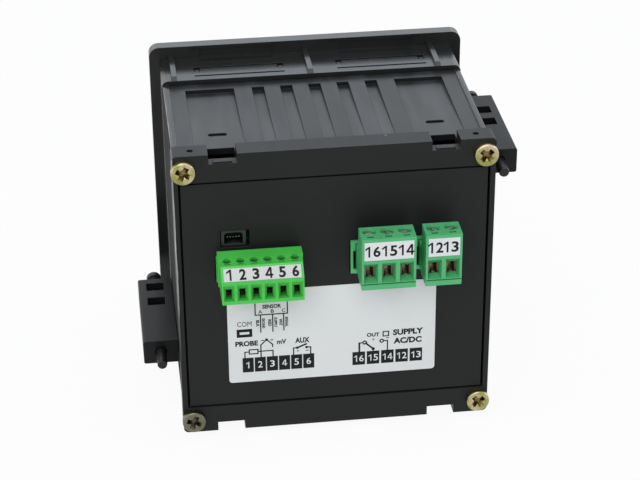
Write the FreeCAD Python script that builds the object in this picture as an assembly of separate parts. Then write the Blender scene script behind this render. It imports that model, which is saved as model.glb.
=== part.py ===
"""Panel-mounted temperature controller with plug-in terminals at the rear.

Millimetres. +Z is up, the display faces -Y and the terminals face +Y. The origin is the centre of the
bezel's rear face, the plane that lies on the front of the panel.
"""
import FreeCAD
import Part
import math
import os
from types import SimpleNamespace

from FreeCAD import Vector

# Clearances
FIT = 0.15              # between pieces that slide together
SEAT = 0.1              # between pieces that are clamped face to face
BEYOND = 1.0            # how far a cutting tool runs past the face that it cuts

# Panel and bezel
PANEL_CUTOUT = 92.0     # square hole in the panel
FLANGE_OVERLAP = 2.0    # bezel beyond the cut-out, each side
BEZEL_DEPTH = 9.3       # in front of the panel
BEZEL_RIM = 3.9         # straight part of the bezel's edge
BEZEL_TAPER = 2.6       # how far the front draws in, each side
BEZEL_RADIUS = 3.0
FRAME_EDGE = 2.0        # frame seen around the fascia
FASCIA_THICKNESS = 2.0
FASCIA_RECESS = 0.3
FASCIA_RADIUS = 2.0
SHELF_WIDTH = 2.4       # ledge that the fascia rests on
SHELF_THICKNESS = 1.6

# Neck of the bezel, which passes through the panel
NECK_LENGTH = 16.4
NECK_SIDE_GAP = 0.9     # from the cut-out to the neck's side
NECK_TOP_GAP = 1.9      # from the cut-out to the neck's top
NECK_RADIUS = 2.0
NECK_SIDE_WALL = 1.55
NECK_DIP = 0.4          # how far the neck's top and bottom are sunk near the flange
NECK_DIP_SPAN = (2.0, 11.8)
RIB_PLACES = (41.3, 0.4, -38.2)
RIB_WIDTH = 1.6
RIB_HEIGHT = 1.0
RIB_RUN_OUT = 1.2       # sloping end of a rib
TONGUE_START = 8.0      # latch tongue's inner end, from the middle
TONGUE_LENGTH = 27.0
TONGUE_SLITS = (6.7, 13.1)
SLIT_WIDTH = 0.8
LATCH_WINDOW = (1.8, 2.6)
LATCH_BUMP_HEIGHT = 1.35
LATCH_BUMP_GAP = 0.2
FLANGE_POCKET_DEPTH = 1.0
FLANGE_POCKET_INSET = 2.3
FLANGE_POCKET_EDGE = 1.2

# Case sleeve
CASE_DEPTH = 69.7       # behind the panel plane, without screws and plugs
SLEEVE_SIDE_STEP = 0.1  # below the neck, at the sides
SLEEVE_TOP_STEP = 1.5   # below the neck, at top and bottom
SLEEVE_RADIUS = 1.2
SLEEVE_WALL = 2.0
RAMP_GAP = 4.1          # from the neck to the deep end of the ramps
RAMP_DEPTH = 1.3
NARROW_RAMP = 3.6
NARROW_RAMP_PITCH = 8.45
NARROW_RAMPS = 5
WIDE_RAMP = 14.4
WIDE_RAMP_MARGIN = 1.5  # from a wide ramp to the screw column
MOULD_SLOT = (5.4, 2.0)
MOULD_SLOT_DEPTH = 0.8
MOULD_SLOT_BACK = 12.3  # in front of the rear cover
EDGE_BAND = 2.0         # raised band along the sleeve's long edges
EDGE_RISE = 0.3
RAIL_WIDTH = 1.4
RAIL_HEIGHT = 1.2

# Rear cover, its screws and the rear panel
COVER_GAP = 0.65        # from the cut-out to the cover
COVER_DEPTH = 6.7
COVER_WALL = 2.3
COVER_SIDE_WALL = 1.5
COVER_RADIUS = 1.5
SPIGOT_STEP = 1.5
RIM_HEIGHT = 8.4        # rear rim above and below the panel
NOTCH_WIDTH = 8.0
NOTCH_INSET = 10.15     # from the cover's side to the notch
NOTCH_DEPTH = 2.85
NOTCH_LEDGE = 3.4
LATCH_POCKET = 3.0      # sleeve cut away in front of a notch
HOOK = (5.4, 2.4, 0.35)
HOOK_BACK = 0.6
DIMPLE_RADIUS = 0.9
DIMPLE_DEPTH = 0.6
DIMPLE_INSET = 5.35
SCREW_INSET_X = 3.05
SCREW_INSET_Z = 4.5
COLUMN_MARGIN = 2.4     # column's inner faces from the screw's axis
COLUMN_GAP = 1.8        # between the neck and a column
SCREW_RADIUS = 1.25
SCREW_LENGTH = 14.0
SCREW_HOLE = 1.7
SCREW_HEAD_RADIUS = 3.4
SCREW_HEAD_HEIGHT = 2.1
SCREW_HEAD_ROUND = 0.9
PANEL_GROOVE = 0.65
PANEL_RECESS = 0.2
PANEL_FLANGE = 1.9
CUTOUT_GAP = 0.25       # round a header or socket in the rear panel
LABEL_SIZE = (60.6, 30.6)
LABEL_CENTRE = (1.15, -13.9)
LABEL_RADIUS = 1.0
LABEL_THICKNESS = 0.12

# Clamp brackets and screws
CLIP_LENGTH = 37.3
CLIP_START = 13.7       # behind the panel plane
CLIP_WIDTH = 10.4
CLIP_HEIGHT = 7.6
CLIP_INSET = 14.2       # clamp screw's axis from the sleeve's edge
CLIP_RADIUS = 0.6
CLIP_AXIS = 5.2         # clamp screw from the bracket's inner face
CLIP_WINDOW_DEPTH = 2.6
CLIP_WINDOW_WIDTH = 5.4
CLIP_WINDOW_LENGTH = 4.6
CLIP_TOP_WINDOWS = (2.6, 11.4)
CLIP_UNDER_WINDOWS = (7.8, 16.0)
HOOK_STARTS = (12.0, 26.0)
HOOK_LENGTH = 4.0
HOOK_WIDTH = 4.0
HOOK_DEPTH = 2.2
HOOK_LIP = 1.2
CLAMP_RADIUS = 1.6
CLAMP_LENGTH = 51.9
CLAMP_FOOT_RADIUS = 2.3
CLAMP_FOOT_THICKNESS = 2.0
CLAMP_FOOT_PLACE = 6.5  # foot's pressing face, behind the panel plane
CLAMP_CHAMFER = 0.4

# Display and keys
DISPLAY_GAP = 6.2       # from the fascia to the display board
BOARD_THICKNESS = 1.6
BOARD_INSET = 1.0
POST_RADIUS = 2.2
POST_INSET = 2.9
POST_SCREW_RADIUS = 1.0
POST_SCREW_LENGTH = 5.0
POST_HEAD_RADIUS = 2.0
POST_HEAD_HEIGHT = 1.3
WINDOW_HALF = (33.0, 19.0)
WINDOW_CENTRE = 14.5
WINDOW_FLANGE = 1.2
WINDOW_FLANGE_THICKNESS = 1.0
WINDOW_RADIUS = 1.0
DIGITS = 4
DIGIT_PITCH = 15.0
DIGIT_WIDTH = 13.6
DIGIT_ROWS = ((18.0, 8.5), (13.0, -9.5))   # height and place from the window's centre
DIGIT_RISE = 1.5
KEY_PLACES = (-27.0, -9.0, 9.0, 27.0)
KEY_LEVEL = -24.0
KEY_HALF = (5.5, 3.5)
KEY_RADIUS = 1.0
KEY_PROUD = 0.8
KEY_FLANGE = 1.0
KEY_FLANGE_THICKNESS = 0.8
KEY_GAP = 0.2
KEY_STEM_RADIUS = 1.5
SWITCH_HALF = 3.0
SWITCH_HEIGHT = 3.4
PLUNGER_RADIUS = 1.7
PLUNGER_PROUD = 0.7
PLUNGER_LENGTH = 1.3
PLUNGER_ROOM = 0.8

# Boards behind the display
MAIN_BOARD_TOP = 5.4
BOARD_FRONT_GAP = 2.2
BOARD_REAR_GAP = 0.4
LOGIC_RISE = 10.8       # logic board's top above the main board's top
LOGIC_EDGE = 4.0        # logic board's free edge, from the middle
SPACER_RADIUS = 2.4
SPACER_INSET = 3.2
SPACER_ENDS = (8.0, 16.0)
CONNECTOR_HEIGHT = 2.6
CONNECTOR_LENGTH = 5.0
MAIN_CONNECTOR = (-16.0, 32.0)      # middle and width
LOGIC_CONNECTOR = (22.0, 20.0)
SOCKET_SIZE = (7.0, 7.4, 4.9)
SOCKET_CENTRE = 28.9
SOCKET_RECESS = 0.4
SOCKET_RIM = 0.85       # beside the opening
SOCKET_LIP = 0.65       # above and below it
SOCKET_POCKET = 4.5
SOCKET_SIDE_GAP = 1.0
SOCKET_CONTACTS = 5
SOCKET_CONTACT_PITCH = 0.8
SOCKET_CONTACT = (0.35, 3.6, 0.25)
RELAY_SIZE = (19.0, 15.4, 15.2)
RELAY_EDGE = 2.0
TRANSFORMER_SIZE = (30.0, 20.0, 24.0)
TRANSFORMER_LEG = 5.0
WINDING_OVERHANG = 3.0
PART_GAP = 1.5
CAPACITOR_RADIUS = 4.0
CAPACITOR_HEIGHT = 13.0
CAPACITOR_BEVEL = 0.5
CAPACITORS = 2
FUSE_RADIUS = 4.2
FUSE_HEIGHT = 7.5
CHIP_SIZE = (10.0, 10.0, 1.4)
CHIP_LEGS = 8
CHIP_LEG = (0.4, 1.1, 0.5)
CHIP_PITCH = 0.9

# Terminal blocks. Lengths along Y count from the case's rear face, heights from the main board's top.
FINE = SimpleNamespace(
    pitch=3.81, margin=0.14, front=13.3, bottom=-0.2, lip=7.0, lean=3.4, crest=10.2,
    collar=(1.7, 6.0), collar_heights=(1.5, 10.6), collar_side=0.45,
    nose_start=-6.7, nose_heights=(2.2, 6.8),
    funnel=(3.1, 0.8, 5.9), hole=(1.65, 0.9, 4.1), funnel_depth=1.3,
    well_radius=1.2, cell=(2.8, 5.6), cell_heights=(0.7, 7.6), cell_back=9.1,
    cage=(2.5, 5.0), cage_heights=(0.9, 5.3), cage_wall=0.5, screw_radius=0.75,
    head_radius=1.05, head_heights=(7.7, 9.3), tongue_thickness=0.35,
    strip_margin=0.7, strip_heights=(7.1, 9.7), groove=None, marker_slot=(1.8, 0.5, 1.0), marker_back=4.5,
    header_height=8.2, header_start=-9.7, header_end=0.6, header_sides=(0.6, 0.6), header_back=1.5,
    end_slot=None,
    pin=1.0, pin_height=4.5, pin_end=-1.5, tail=2.0, socket=1.9)
BROAD = SimpleNamespace(
    pitch=5.08, margin=0.1, front=12.3, bottom=0.9, lip=10.3, lean=0.0, crest=17.0,
    collar=(5.0, 7.0), collar_heights=(0.9, 17.0), collar_side=0.0,
    nose_start=-7.7, nose_heights=(1.4, 9.4),
    funnel=(3.9, 3.0, 9.2), hole=(2.85, 3.7, 7.0), funnel_depth=2.5,
    well_radius=1.95, cell=(3.8, 3.6), cell_heights=(2.6, 14.0), cell_back=6.3,
    cage=(3.4, 3.2), cage_heights=(2.8, 8.4), cage_wall=0.7, screw_radius=1.15,
    head_radius=1.75, head_heights=(14.0, 16.0), tongue_thickness=0.45,
    strip_margin=0.7, strip_heights=(10.4, 16.0), groove=1.75, marker_slot=(1.9, 0.7, 1.5), marker_back=1.5,
    header_height=10.3, header_start=-11.2, header_end=0.8, header_sides=(1.55, 0.85), header_back=1.8,
    end_slot=(0.85, 1.4, 7.3),
    pin=1.0, pin_height=5.4, pin_end=-1.8, tail=2.0, socket=2.1)
STRIP_THICKNESS = 0.2
GROOVE_SIZE = 0.35
NOSE_GAP = 0.2
HEADER_GAP = 0.3        # between the two broad headers
TAIL_GAP = 0.2
SIX_WAY_CENTRE = 22.0
THREE_WAY_CENTRE = -13.4
SIX_WAY_POLES = 6
THREE_WAY_POLES = 3
TWO_WAY_POLES = 2

# Worked out from the sizes above
BEZEL_HALF = PANEL_CUTOUT / 2 + FLANGE_OVERLAP
NECK_X = PANEL_CUTOUT / 2 - NECK_SIDE_GAP
NECK_Z = PANEL_CUTOUT / 2 - NECK_TOP_GAP
COVER_HALF = PANEL_CUTOUT / 2 - COVER_GAP
SLEEVE_X = NECK_X - SLEEVE_SIDE_STEP
SLEEVE_Z = NECK_Z - SLEEVE_TOP_STEP
FRONT_SPIGOT_X = NECK_X - NECK_SIDE_WALL - FIT
INNER_X = FRONT_SPIGOT_X - SLEEVE_WALL
INNER_Z = SLEEVE_Z - SLEEVE_WALL
REAR_Y = CASE_DEPTH
COVER_FRONT = REAR_Y - COVER_DEPTH
COVER_INSIDE = REAR_Y - COVER_WALL
SPIGOT_X = COVER_HALF - COVER_SIDE_WALL - FIT
SPIGOT_Z = SLEEVE_Z - SPIGOT_STEP
OPENING_X = SPIGOT_X + FIT
OPENING_Z = COVER_HALF - RIM_HEIGHT
FLANGE_REAR = COVER_INSIDE - SEAT
FLANGE_FRONT = FLANGE_REAR - PANEL_FLANGE
SPIGOT_END = FLANGE_FRONT - SEAT
PANEL_REAR = REAR_Y - PANEL_RECESS
SCREW_X = COVER_HALF - SCREW_INSET_X
SCREW_Z = COVER_HALF - SCREW_INSET_Z
COLUMN_X = SCREW_X - COLUMN_MARGIN
COLUMN_Z = SCREW_Z - COLUMN_MARGIN
NOTCH_MIDDLE = COVER_HALF - NOTCH_INSET - NOTCH_WIDTH / 2
FASCIA_HALF = BEZEL_HALF - BEZEL_TAPER - FRAME_EDGE - FIT
FASCIA_FRONT = FASCIA_RECESS - BEZEL_DEPTH
FASCIA_REAR = FASCIA_FRONT + FASCIA_THICKNESS
SHELF_REAR = FASCIA_REAR + SHELF_THICKNESS
SHELF_HALF = FASCIA_HALF - SHELF_WIDTH
DISPLAY_FRONT = FASCIA_REAR + DISPLAY_GAP
DISPLAY_REAR = DISPLAY_FRONT + BOARD_THICKNESS
POST_PLACE = SHELF_HALF - POST_INSET
SLEEVE_FRONT = DISPLAY_REAR + SEAT
BOARD_FRONT = DISPLAY_REAR + BOARD_FRONT_GAP
BOARD_REAR = FLANGE_FRONT - BOARD_REAR_GAP
BOARD_HALF = INNER_X - FIT
LOGIC_TOP = MAIN_BOARD_TOP + LOGIC_RISE
CLIP_INNER = NECK_X + SEAT
CLIP_Z = CLIP_INSET - SLEEVE_Z
CLAMP_X = CLIP_INNER + CLIP_AXIS
SWITCH_FRONT = DISPLAY_FRONT - SWITCH_HEIGHT
PLUNGER_FRONT = SWITCH_FRONT - PLUNGER_PROUD
SIGNS = (1, -1)
CORNERS = [(sx, sz) for sx in SIGNS for sz in SIGNS]


def block(x_span, y_span, z_span):
    """Box between two values along each axis, given in either order."""
    low = [min(span) for span in (x_span, y_span, z_span)]
    high = [max(span) for span in (x_span, y_span, z_span)]
    return Part.makeBox(*[b - a for a, b in zip(low, high)], Vector(*low))


def about(middle, width):
    """Span of a width about its middle."""
    return (middle - width / 2, middle + width / 2)


def rounded_wire(half_x, half_z, radius, y):
    """Rectangle with round corners in a plane across Y, about the Y axis."""
    edges = []
    arc_mid = radius * math.sqrt(0.5)
    corners = [(1, 1), (-1, 1), (-1, -1), (1, -1)]
    ends = []
    for sx, sz in corners:
        cx = sx * (half_x - radius)
        cz = sz * (half_z - radius)
        on_side = Vector(cx + sx * radius, y, cz)
        on_top = Vector(cx, y, cz + sz * radius)
        middle = Vector(cx + sx * arc_mid, y, cz + sz * arc_mid)
        first, last = (on_side, on_top) if sx == sz else (on_top, on_side)
        edges.append(Part.Arc(first, middle, last).toShape())
        ends.append((first, last))
    for i in range(4):
        edges.append(Part.LineSegment(ends[i][1], ends[(i + 1) % 4][0]).toShape())
    return Part.Wire(Part.__sortEdges__(edges))


def rounded_prism(half_x, half_z, radius, y_start, y_end):
    """Bar of round-cornered section along Y."""
    face = Part.Face(rounded_wire(half_x, half_z, radius, y_start))
    return face.extrude(Vector(0, y_end - y_start, 0))


def rod(radius, x, z, y_start, y_end):
    """Round bar along Y."""
    return Part.makeCylinder(radius, y_end - y_start, Vector(x, y_start, z), Vector(0, 1, 0))


def post(radius, x, y, z_start, z_end):
    """Round bar along Z."""
    return Part.makeCylinder(radius, z_end - z_start, Vector(x, y, z_start))


def side_profile(points, x_span):
    """Outline of (y, z) points drawn out along X."""
    x_start, x_end = min(x_span), max(x_span)
    corners = [Vector(x_start, y, z) for y, z in points]
    face = Part.Face(Part.makePolygon(corners + corners[:1]))
    return face.extrude(Vector(x_end - x_start, 0, 0))


def turned_over(shape):
    """The shape turned half round about the Y axis."""
    copy = shape.copy()
    copy.rotate(Vector(0, 0, 0), Vector(0, 1, 0), 180)
    return copy


def save(node, *solids):
    """Write one node, a single solid or a group of separate ones."""
    shape = solids[0] if len(solids) == 1 else Part.makeCompound(list(solids))
    shape.exportStep("parts/" + node + ".step")


def neck():
    """Square tube behind the flange, its top and bottom sunk a little near the flange."""
    shape = rounded_prism(NECK_X, NECK_Z, NECK_RADIUS, 0, NECK_LENGTH)
    above = NECK_Z + BEYOND
    deepest, end = NECK_DIP_SPAN
    outline = [(0, NECK_Z), (deepest, NECK_Z - NECK_DIP), (end, NECK_Z), (end, above), (0, above)]
    dip = side_profile(outline, about(0, 2 * NECK_X + BEYOND))
    return shape.cut([dip, turned_over(dip)])


def neck_rib(x):
    """Centring rib on top of the neck, sloping off towards the sleeve."""
    foot = NECK_Z - NECK_DIP
    run = [(0, foot), (0, NECK_Z + RIB_HEIGHT), (NECK_LENGTH - RIB_RUN_OUT, NECK_Z + RIB_HEIGHT),
           (NECK_LENGTH, NECK_Z), (NECK_LENGTH, foot)]
    return side_profile(run, about(x, RIB_WIDTH))


def latch_windows(side):
    """Places (x span, y span) of a tongue's two end windows."""
    width, length = LATCH_WINDOW
    start = TONGUE_SLITS[0] + SLIT_WIDTH
    inner = (side * TONGUE_START, side * (TONGUE_START + width))
    outer_edge = TONGUE_START + TONGUE_LENGTH
    outer = (side * (outer_edge - width), side * outer_edge)
    return [(span, (start, start + length)) for span in (inner, outer)]


def neck_cuts():
    """Slits, latch windows and flange pockets of the neck's top."""
    through = (SLEEVE_Z, NECK_Z + BEYOND)
    cuts = []
    for side in SIGNS:
        tongue = (side * TONGUE_START, side * (TONGUE_START + TONGUE_LENGTH))
        for start in TONGUE_SLITS:
            cuts.append(block(tongue, (start, start + SLIT_WIDTH), through))
        for x_span, y_span in latch_windows(side):
            cuts.append(block(x_span, y_span, through))
        pocket_x = (side * (TONGUE_START + FLANGE_POCKET_INSET),
                    side * (TONGUE_START + TONGUE_LENGTH - FLANGE_POCKET_INSET))
        cuts.append(block(pocket_x, (-FLANGE_POCKET_DEPTH, 0), (NECK_Z, BEZEL_HALF - FLANGE_POCKET_EDGE)))
    return cuts


def front_bezel():
    """Flange, neck, ribs and latch tongues in one moulding."""
    front_half = BEZEL_HALF - BEZEL_TAPER
    back = rounded_wire(BEZEL_HALF, BEZEL_HALF, BEZEL_RADIUS, -BEZEL_RIM)
    front = rounded_wire(front_half, front_half, BEZEL_RADIUS, -BEZEL_DEPTH)
    shape = Part.makeLoft([back, front], True, True)
    shape = shape.fuse(rounded_prism(BEZEL_HALF, BEZEL_HALF, BEZEL_RADIUS, -BEZEL_RIM, 0))
    shape = shape.fuse(neck())
    ribs = [neck_rib(x) for x in RIB_PLACES]
    shape = shape.fuse(ribs + [turned_over(rib) for rib in ribs])
    seat = FASCIA_HALF + FIT
    cuts = [rounded_prism(seat, seat, FASCIA_RADIUS + FIT, -BEZEL_DEPTH - BEYOND, FASCIA_REAR),
            rounded_prism(SHELF_HALF, SHELF_HALF, FASCIA_RADIUS, -BEZEL_DEPTH, SHELF_REAR + BEYOND),
            rounded_prism(FRONT_SPIGOT_X + FIT, SLEEVE_Z + FIT, SLEEVE_RADIUS + FIT,
                          SHELF_REAR, NECK_LENGTH + BEYOND)]
    top_cuts = neck_cuts()
    return shape.cut(cuts + top_cuts + [turned_over(cut) for cut in top_cuts]).removeSplitter()


def fascia():
    """Front plate with the display opening, the key holes and the posts that carry the display board."""
    shape = rounded_prism(FASCIA_HALF, FASCIA_HALF, FASCIA_RADIUS, FASCIA_FRONT, FASCIA_REAR)
    posts = []
    holes = []
    for sx, sz in CORNERS:
        posts.append(rod(POST_RADIUS, sx * POST_PLACE, sz * POST_PLACE, FASCIA_REAR, DISPLAY_FRONT))
        holes.append(rod(POST_SCREW_RADIUS, sx * POST_PLACE, sz * POST_PLACE,
                         DISPLAY_REAR - POST_SCREW_LENGTH, DISPLAY_FRONT))
    opening = rounded_prism(WINDOW_HALF[0], WINDOW_HALF[1], WINDOW_RADIUS,
                            FASCIA_FRONT - BEYOND, FASCIA_REAR + BEYOND)
    opening.translate(Vector(0, 0, WINDOW_CENTRE))
    holes.append(opening)
    for x in KEY_PLACES:
        hole = rounded_prism(KEY_HALF[0] + KEY_GAP, KEY_HALF[1] + KEY_GAP, KEY_RADIUS + KEY_GAP,
                             FASCIA_FRONT - BEYOND, FASCIA_REAR + BEYOND)
        hole.translate(Vector(x, 0, KEY_LEVEL))
        holes.append(hole)
    return shape.fuse(posts).cut(holes)


def display_window():
    """Tinted lens, flush with the fascia and held by a flange behind it."""
    wide, high = WINDOW_HALF
    lens = rounded_prism(wide - SEAT, high - SEAT, WINDOW_RADIUS, FASCIA_FRONT, FASCIA_REAR)
    flange = rounded_prism(wide + WINDOW_FLANGE, high + WINDOW_FLANGE, WINDOW_RADIUS,
                           FASCIA_REAR, FASCIA_REAR + WINDOW_FLANGE_THICKNESS)
    shape = lens.fuse(flange).removeSplitter()
    shape.translate(Vector(0, 0, WINDOW_CENTRE))
    return shape


def display_module():
    """Carrier on the display board with two rows of digit blocks."""
    front = FASCIA_REAR + WINDOW_FLANGE_THICKNESS + SEAT
    width = (DIGITS - 1) * DIGIT_PITCH + DIGIT_WIDTH
    top = WINDOW_CENTRE + DIGIT_ROWS[0][1] + DIGIT_ROWS[0][0] / 2
    bottom = WINDOW_CENTRE + DIGIT_ROWS[1][1] - DIGIT_ROWS[1][0] / 2
    shape = block(about(0, width), (front + DIGIT_RISE, DISPLAY_FRONT), (bottom, top))
    digits = []
    for height, place in DIGIT_ROWS:
        for i in range(DIGITS):
            x = (i - (DIGITS - 1) / 2) * DIGIT_PITCH
            digits.append(block(about(x, DIGIT_WIDTH), (front, front + DIGIT_RISE),
                                about(WINDOW_CENTRE + place, height)))
    return shape.fuse(digits)


def display_board():
    """Upright board behind the fascia, screwed to its posts."""
    shape = rounded_prism(FRONT_SPIGOT_X - BOARD_INSET, SLEEVE_Z - BOARD_INSET, SLEEVE_RADIUS,
                          DISPLAY_FRONT, DISPLAY_REAR)
    holes = [rod(POST_SCREW_RADIUS + FIT, sx * POST_PLACE, sz * POST_PLACE,
                 DISPLAY_FRONT - BEYOND, DISPLAY_REAR + BEYOND) for sx, sz in CORNERS]
    return shape.cut(holes)


def display_screw(sx, sz):
    """Small screw through the display board into a post."""
    x, z = sx * POST_PLACE, sz * POST_PLACE
    shank = rod(POST_SCREW_RADIUS, x, z, DISPLAY_REAR - POST_SCREW_LENGTH, DISPLAY_REAR)
    return shank.fuse(rod(POST_HEAD_RADIUS, x, z, DISPLAY_REAR, DISPLAY_REAR + POST_HEAD_HEIGHT))


def key(x):
    """Key cap with its retaining flange and the stem that reaches the switch."""
    wide, high = KEY_HALF
    flange_front = FASCIA_REAR + SEAT
    flange_rear = flange_front + KEY_FLANGE_THICKNESS
    cap = rounded_prism(wide, high, KEY_RADIUS, FASCIA_FRONT - KEY_PROUD, flange_front)
    flange = rounded_prism(wide + KEY_FLANGE, high + KEY_FLANGE, KEY_RADIUS, flange_front, flange_rear)
    stem = rod(KEY_STEM_RADIUS, 0, 0, flange_rear, PLUNGER_FRONT)
    shape = cap.fuse([flange, stem]).removeSplitter()
    shape.translate(Vector(x, 0, KEY_LEVEL))
    return shape


def key_plunger(x):
    """Moving button of a switch."""
    return rod(PLUNGER_RADIUS, x, KEY_LEVEL, PLUNGER_FRONT, PLUNGER_FRONT + PLUNGER_LENGTH)


def key_switch(x):
    """Fixed body of a switch on the display board."""
    side = 2 * SWITCH_HALF
    shape = block(about(x, side), (SWITCH_FRONT, DISPLAY_FRONT), about(KEY_LEVEL, side))
    room = PLUNGER_FRONT + PLUNGER_LENGTH + PLUNGER_ROOM
    return shape.cut(rod(PLUNGER_RADIUS + FIT, x, KEY_LEVEL, SWITCH_FRONT - BEYOND, room))


def ramp(x_span):
    """Tool for a recess that is deepest near the neck and runs out at the rear cover."""
    start = NECK_LENGTH + RAMP_GAP
    outline = [(start, SLEEVE_Z - RAMP_DEPTH), (COVER_FRONT, SLEEVE_Z), (COVER_FRONT, SLEEVE_Z + BEYOND),
               (start, SLEEVE_Z + BEYOND)]
    return side_profile(outline, x_span)


def mould_slot(x, y, floor):
    """Tool for a shallow slot with round ends."""
    length, width = MOULD_SLOT
    top = SLEEVE_Z + BEYOND
    ends = [post(width / 2, x + side * (length - width) / 2, y, floor, top) for side in SIGNS]
    return block(about(x, length - width), about(y, width), (floor, top)).fuse(ends)


def sleeve_top_cuts():
    """Ramps, mould slots and latch pockets of the sleeve's top."""
    cuts = []
    for i in range(NARROW_RAMPS):
        cuts.append(ramp(about((i - (NARROW_RAMPS - 1) / 2) * NARROW_RAMP_PITCH, NARROW_RAMP)))
    wide_edge = COLUMN_X - WIDE_RAMP_MARGIN
    slot_y = COVER_FRONT - MOULD_SLOT_BACK
    slot_floor = SLEEVE_Z - MOULD_SLOT_DEPTH - RAMP_DEPTH * MOULD_SLOT_BACK / (
        COVER_FRONT - NECK_LENGTH - RAMP_GAP)
    for side in SIGNS:
        cuts.append(ramp((side * wide_edge, side * (wide_edge - WIDE_RAMP))))
        cuts.append(mould_slot(side * NOTCH_MIDDLE, slot_y, slot_floor))
        cuts.append(block(about(side * NOTCH_MIDDLE, NOTCH_WIDTH),
                          (COVER_FRONT - LATCH_POCKET, SPIGOT_END + BEYOND),
                          (SPIGOT_Z - SLEEVE_WALL - BEYOND, SLEEVE_Z + BEYOND)))
    return cuts


def latch_bumps():
    """Bumps of the sleeve's top that hold the bezel's latch tongues."""
    bumps = []
    for side in SIGNS:
        for x_span, y_span in latch_windows(side):
            x_low, x_high = min(x_span) + LATCH_BUMP_GAP, max(x_span) - LATCH_BUMP_GAP
            y_low, y_high = y_span[0] + LATCH_BUMP_GAP, y_span[1] - LATCH_BUMP_GAP
            crown = SLEEVE_Z + LATCH_BUMP_HEIGHT
            wedge = [(y_low, SLEEVE_Z), ((y_low + y_high) / 2, crown), (y_high, crown), (y_high, SLEEVE_Z)]
            bumps.append(side_profile(wedge, (x_low, x_high)))
    return bumps


def column(sx, sz):
    """Screw column at a corner of the sleeve."""
    return block((sx * COLUMN_X, sx * (INNER_X + SEAT)), (NECK_LENGTH + COLUMN_GAP, COVER_FRONT),
                 (sz * COLUMN_Z, sz * (INNER_Z + SEAT)))


def edge_bands():
    """Raised bands along the four long edges of the sleeve."""
    tall = rounded_prism(SLEEVE_X, SLEEVE_Z + EDGE_RISE, SLEEVE_RADIUS, NECK_LENGTH + SEAT, COVER_FRONT)
    inner = block(about(0, 2 * (SLEEVE_X - EDGE_BAND)), (NECK_LENGTH, COVER_FRONT), about(0, 2 * COVER_HALF))
    inside = block(about(0, 2 * COVER_HALF), (NECK_LENGTH, COVER_FRONT), about(0, 2 * INNER_Z))
    return tall.cut([inner, inside]).Solids


def board_rails(board_top, sides):
    """Pairs of ribs inside the sleeve that hold a board's edge."""
    rails = []
    low = board_top - BOARD_THICKNESS - FIT
    high = board_top + FIT
    for side in sides:
        x_span = (side * INNER_X, side * (INNER_X - RAIL_WIDTH))
        rails.append(block(x_span, (SLEEVE_FRONT, SPIGOT_END), (low - RAIL_HEIGHT, low)))
        rails.append(block(x_span, (SLEEVE_FRONT, SPIGOT_END), (high, high + RAIL_HEIGHT)))
    return rails


def clip_seats():
    """Undercut pockets in the sleeve's side that the bracket's hooks enter."""
    cuts = []
    for start in HOOK_STARTS:
        y_low = CLIP_START + start
        z_span = about(CLIP_Z, HOOK_WIDTH + 2 * FIT)
        floor = SLEEVE_X - HOOK_DEPTH - FIT
        mouth = (y_low - HOOK_LIP - FIT, y_low + HOOK_LENGTH + FIT)
        cuts.append(block((floor, SLEEVE_X + BEYOND), mouth, z_span))
        cuts.append(block((floor, SLEEVE_X - HOOK_DEPTH / 2 + FIT),
                          (y_low - 2 * HOOK_LIP - FIT, y_low), z_span))
    return cuts


def case_sleeve():
    """Square tube: front spigot in the neck, body with ramps and screw columns, rear spigot in the cover."""
    shape = rounded_prism(SLEEVE_X, SLEEVE_Z, SLEEVE_RADIUS, NECK_LENGTH, COVER_FRONT)
    shape = shape.fuse([
        rounded_prism(FRONT_SPIGOT_X, SLEEVE_Z, SLEEVE_RADIUS, SLEEVE_FRONT, NECK_LENGTH),
        rounded_prism(SPIGOT_X, SPIGOT_Z, SLEEVE_RADIUS, COVER_FRONT, SPIGOT_END)])
    narrow_from = COVER_FRONT - SLEEVE_WALL
    shape = shape.cut([
        rounded_prism(INNER_X, INNER_Z, SLEEVE_RADIUS, SLEEVE_FRONT - BEYOND, narrow_from),
        rounded_prism(INNER_X, SPIGOT_Z - SLEEVE_WALL, SLEEVE_RADIUS, narrow_from, SPIGOT_END + BEYOND)])
    bumps = latch_bumps()
    shape = shape.fuse(edge_bands() + [column(sx, sz) for sx, sz in CORNERS] + bumps
                       + [turned_over(bump) for bump in bumps]
                       + board_rails(MAIN_BOARD_TOP, SIGNS) + board_rails(LOGIC_TOP, (1,)))
    top = sleeve_top_cuts()
    seats = clip_seats()
    cuts = top + seats + [turned_over(cut) for cut in top + seats]
    for sx, sz in CORNERS:
        cuts.append(block((sx * (COLUMN_X - FIT), sx * COVER_HALF), (COVER_FRONT, SPIGOT_END + BEYOND),
                          (sz * (COLUMN_Z - FIT), sz * COVER_HALF)))
        cuts.append(rod(SCREW_RADIUS, sx * SCREW_X, sz * SCREW_Z, REAR_Y - SCREW_LENGTH, COVER_FRONT))
    return shape.cut(cuts).removeSplitter()


def cover_top_cuts():
    """Latch notches and dimples along the cover's top."""
    cuts = []
    floor = COVER_HALF - NOTCH_DEPTH
    for side in SIGNS:
        notch = about(side * NOTCH_MIDDLE, NOTCH_WIDTH)
        cuts.append(block(notch, (COVER_FRONT - BEYOND, REAR_Y + BEYOND), (floor, COVER_HALF + BEYOND)))
        cuts.append(block(notch, (COVER_FRONT - BEYOND, REAR_Y - NOTCH_LEDGE), (SPIGOT_Z, COVER_HALF)))
        cuts.append(post(DIMPLE_RADIUS, side * (COVER_HALF - DIMPLE_INSET), (COVER_FRONT + REAR_Y) / 2,
                         COVER_HALF - DIMPLE_DEPTH, COVER_HALF + BEYOND))
    return cuts


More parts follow.
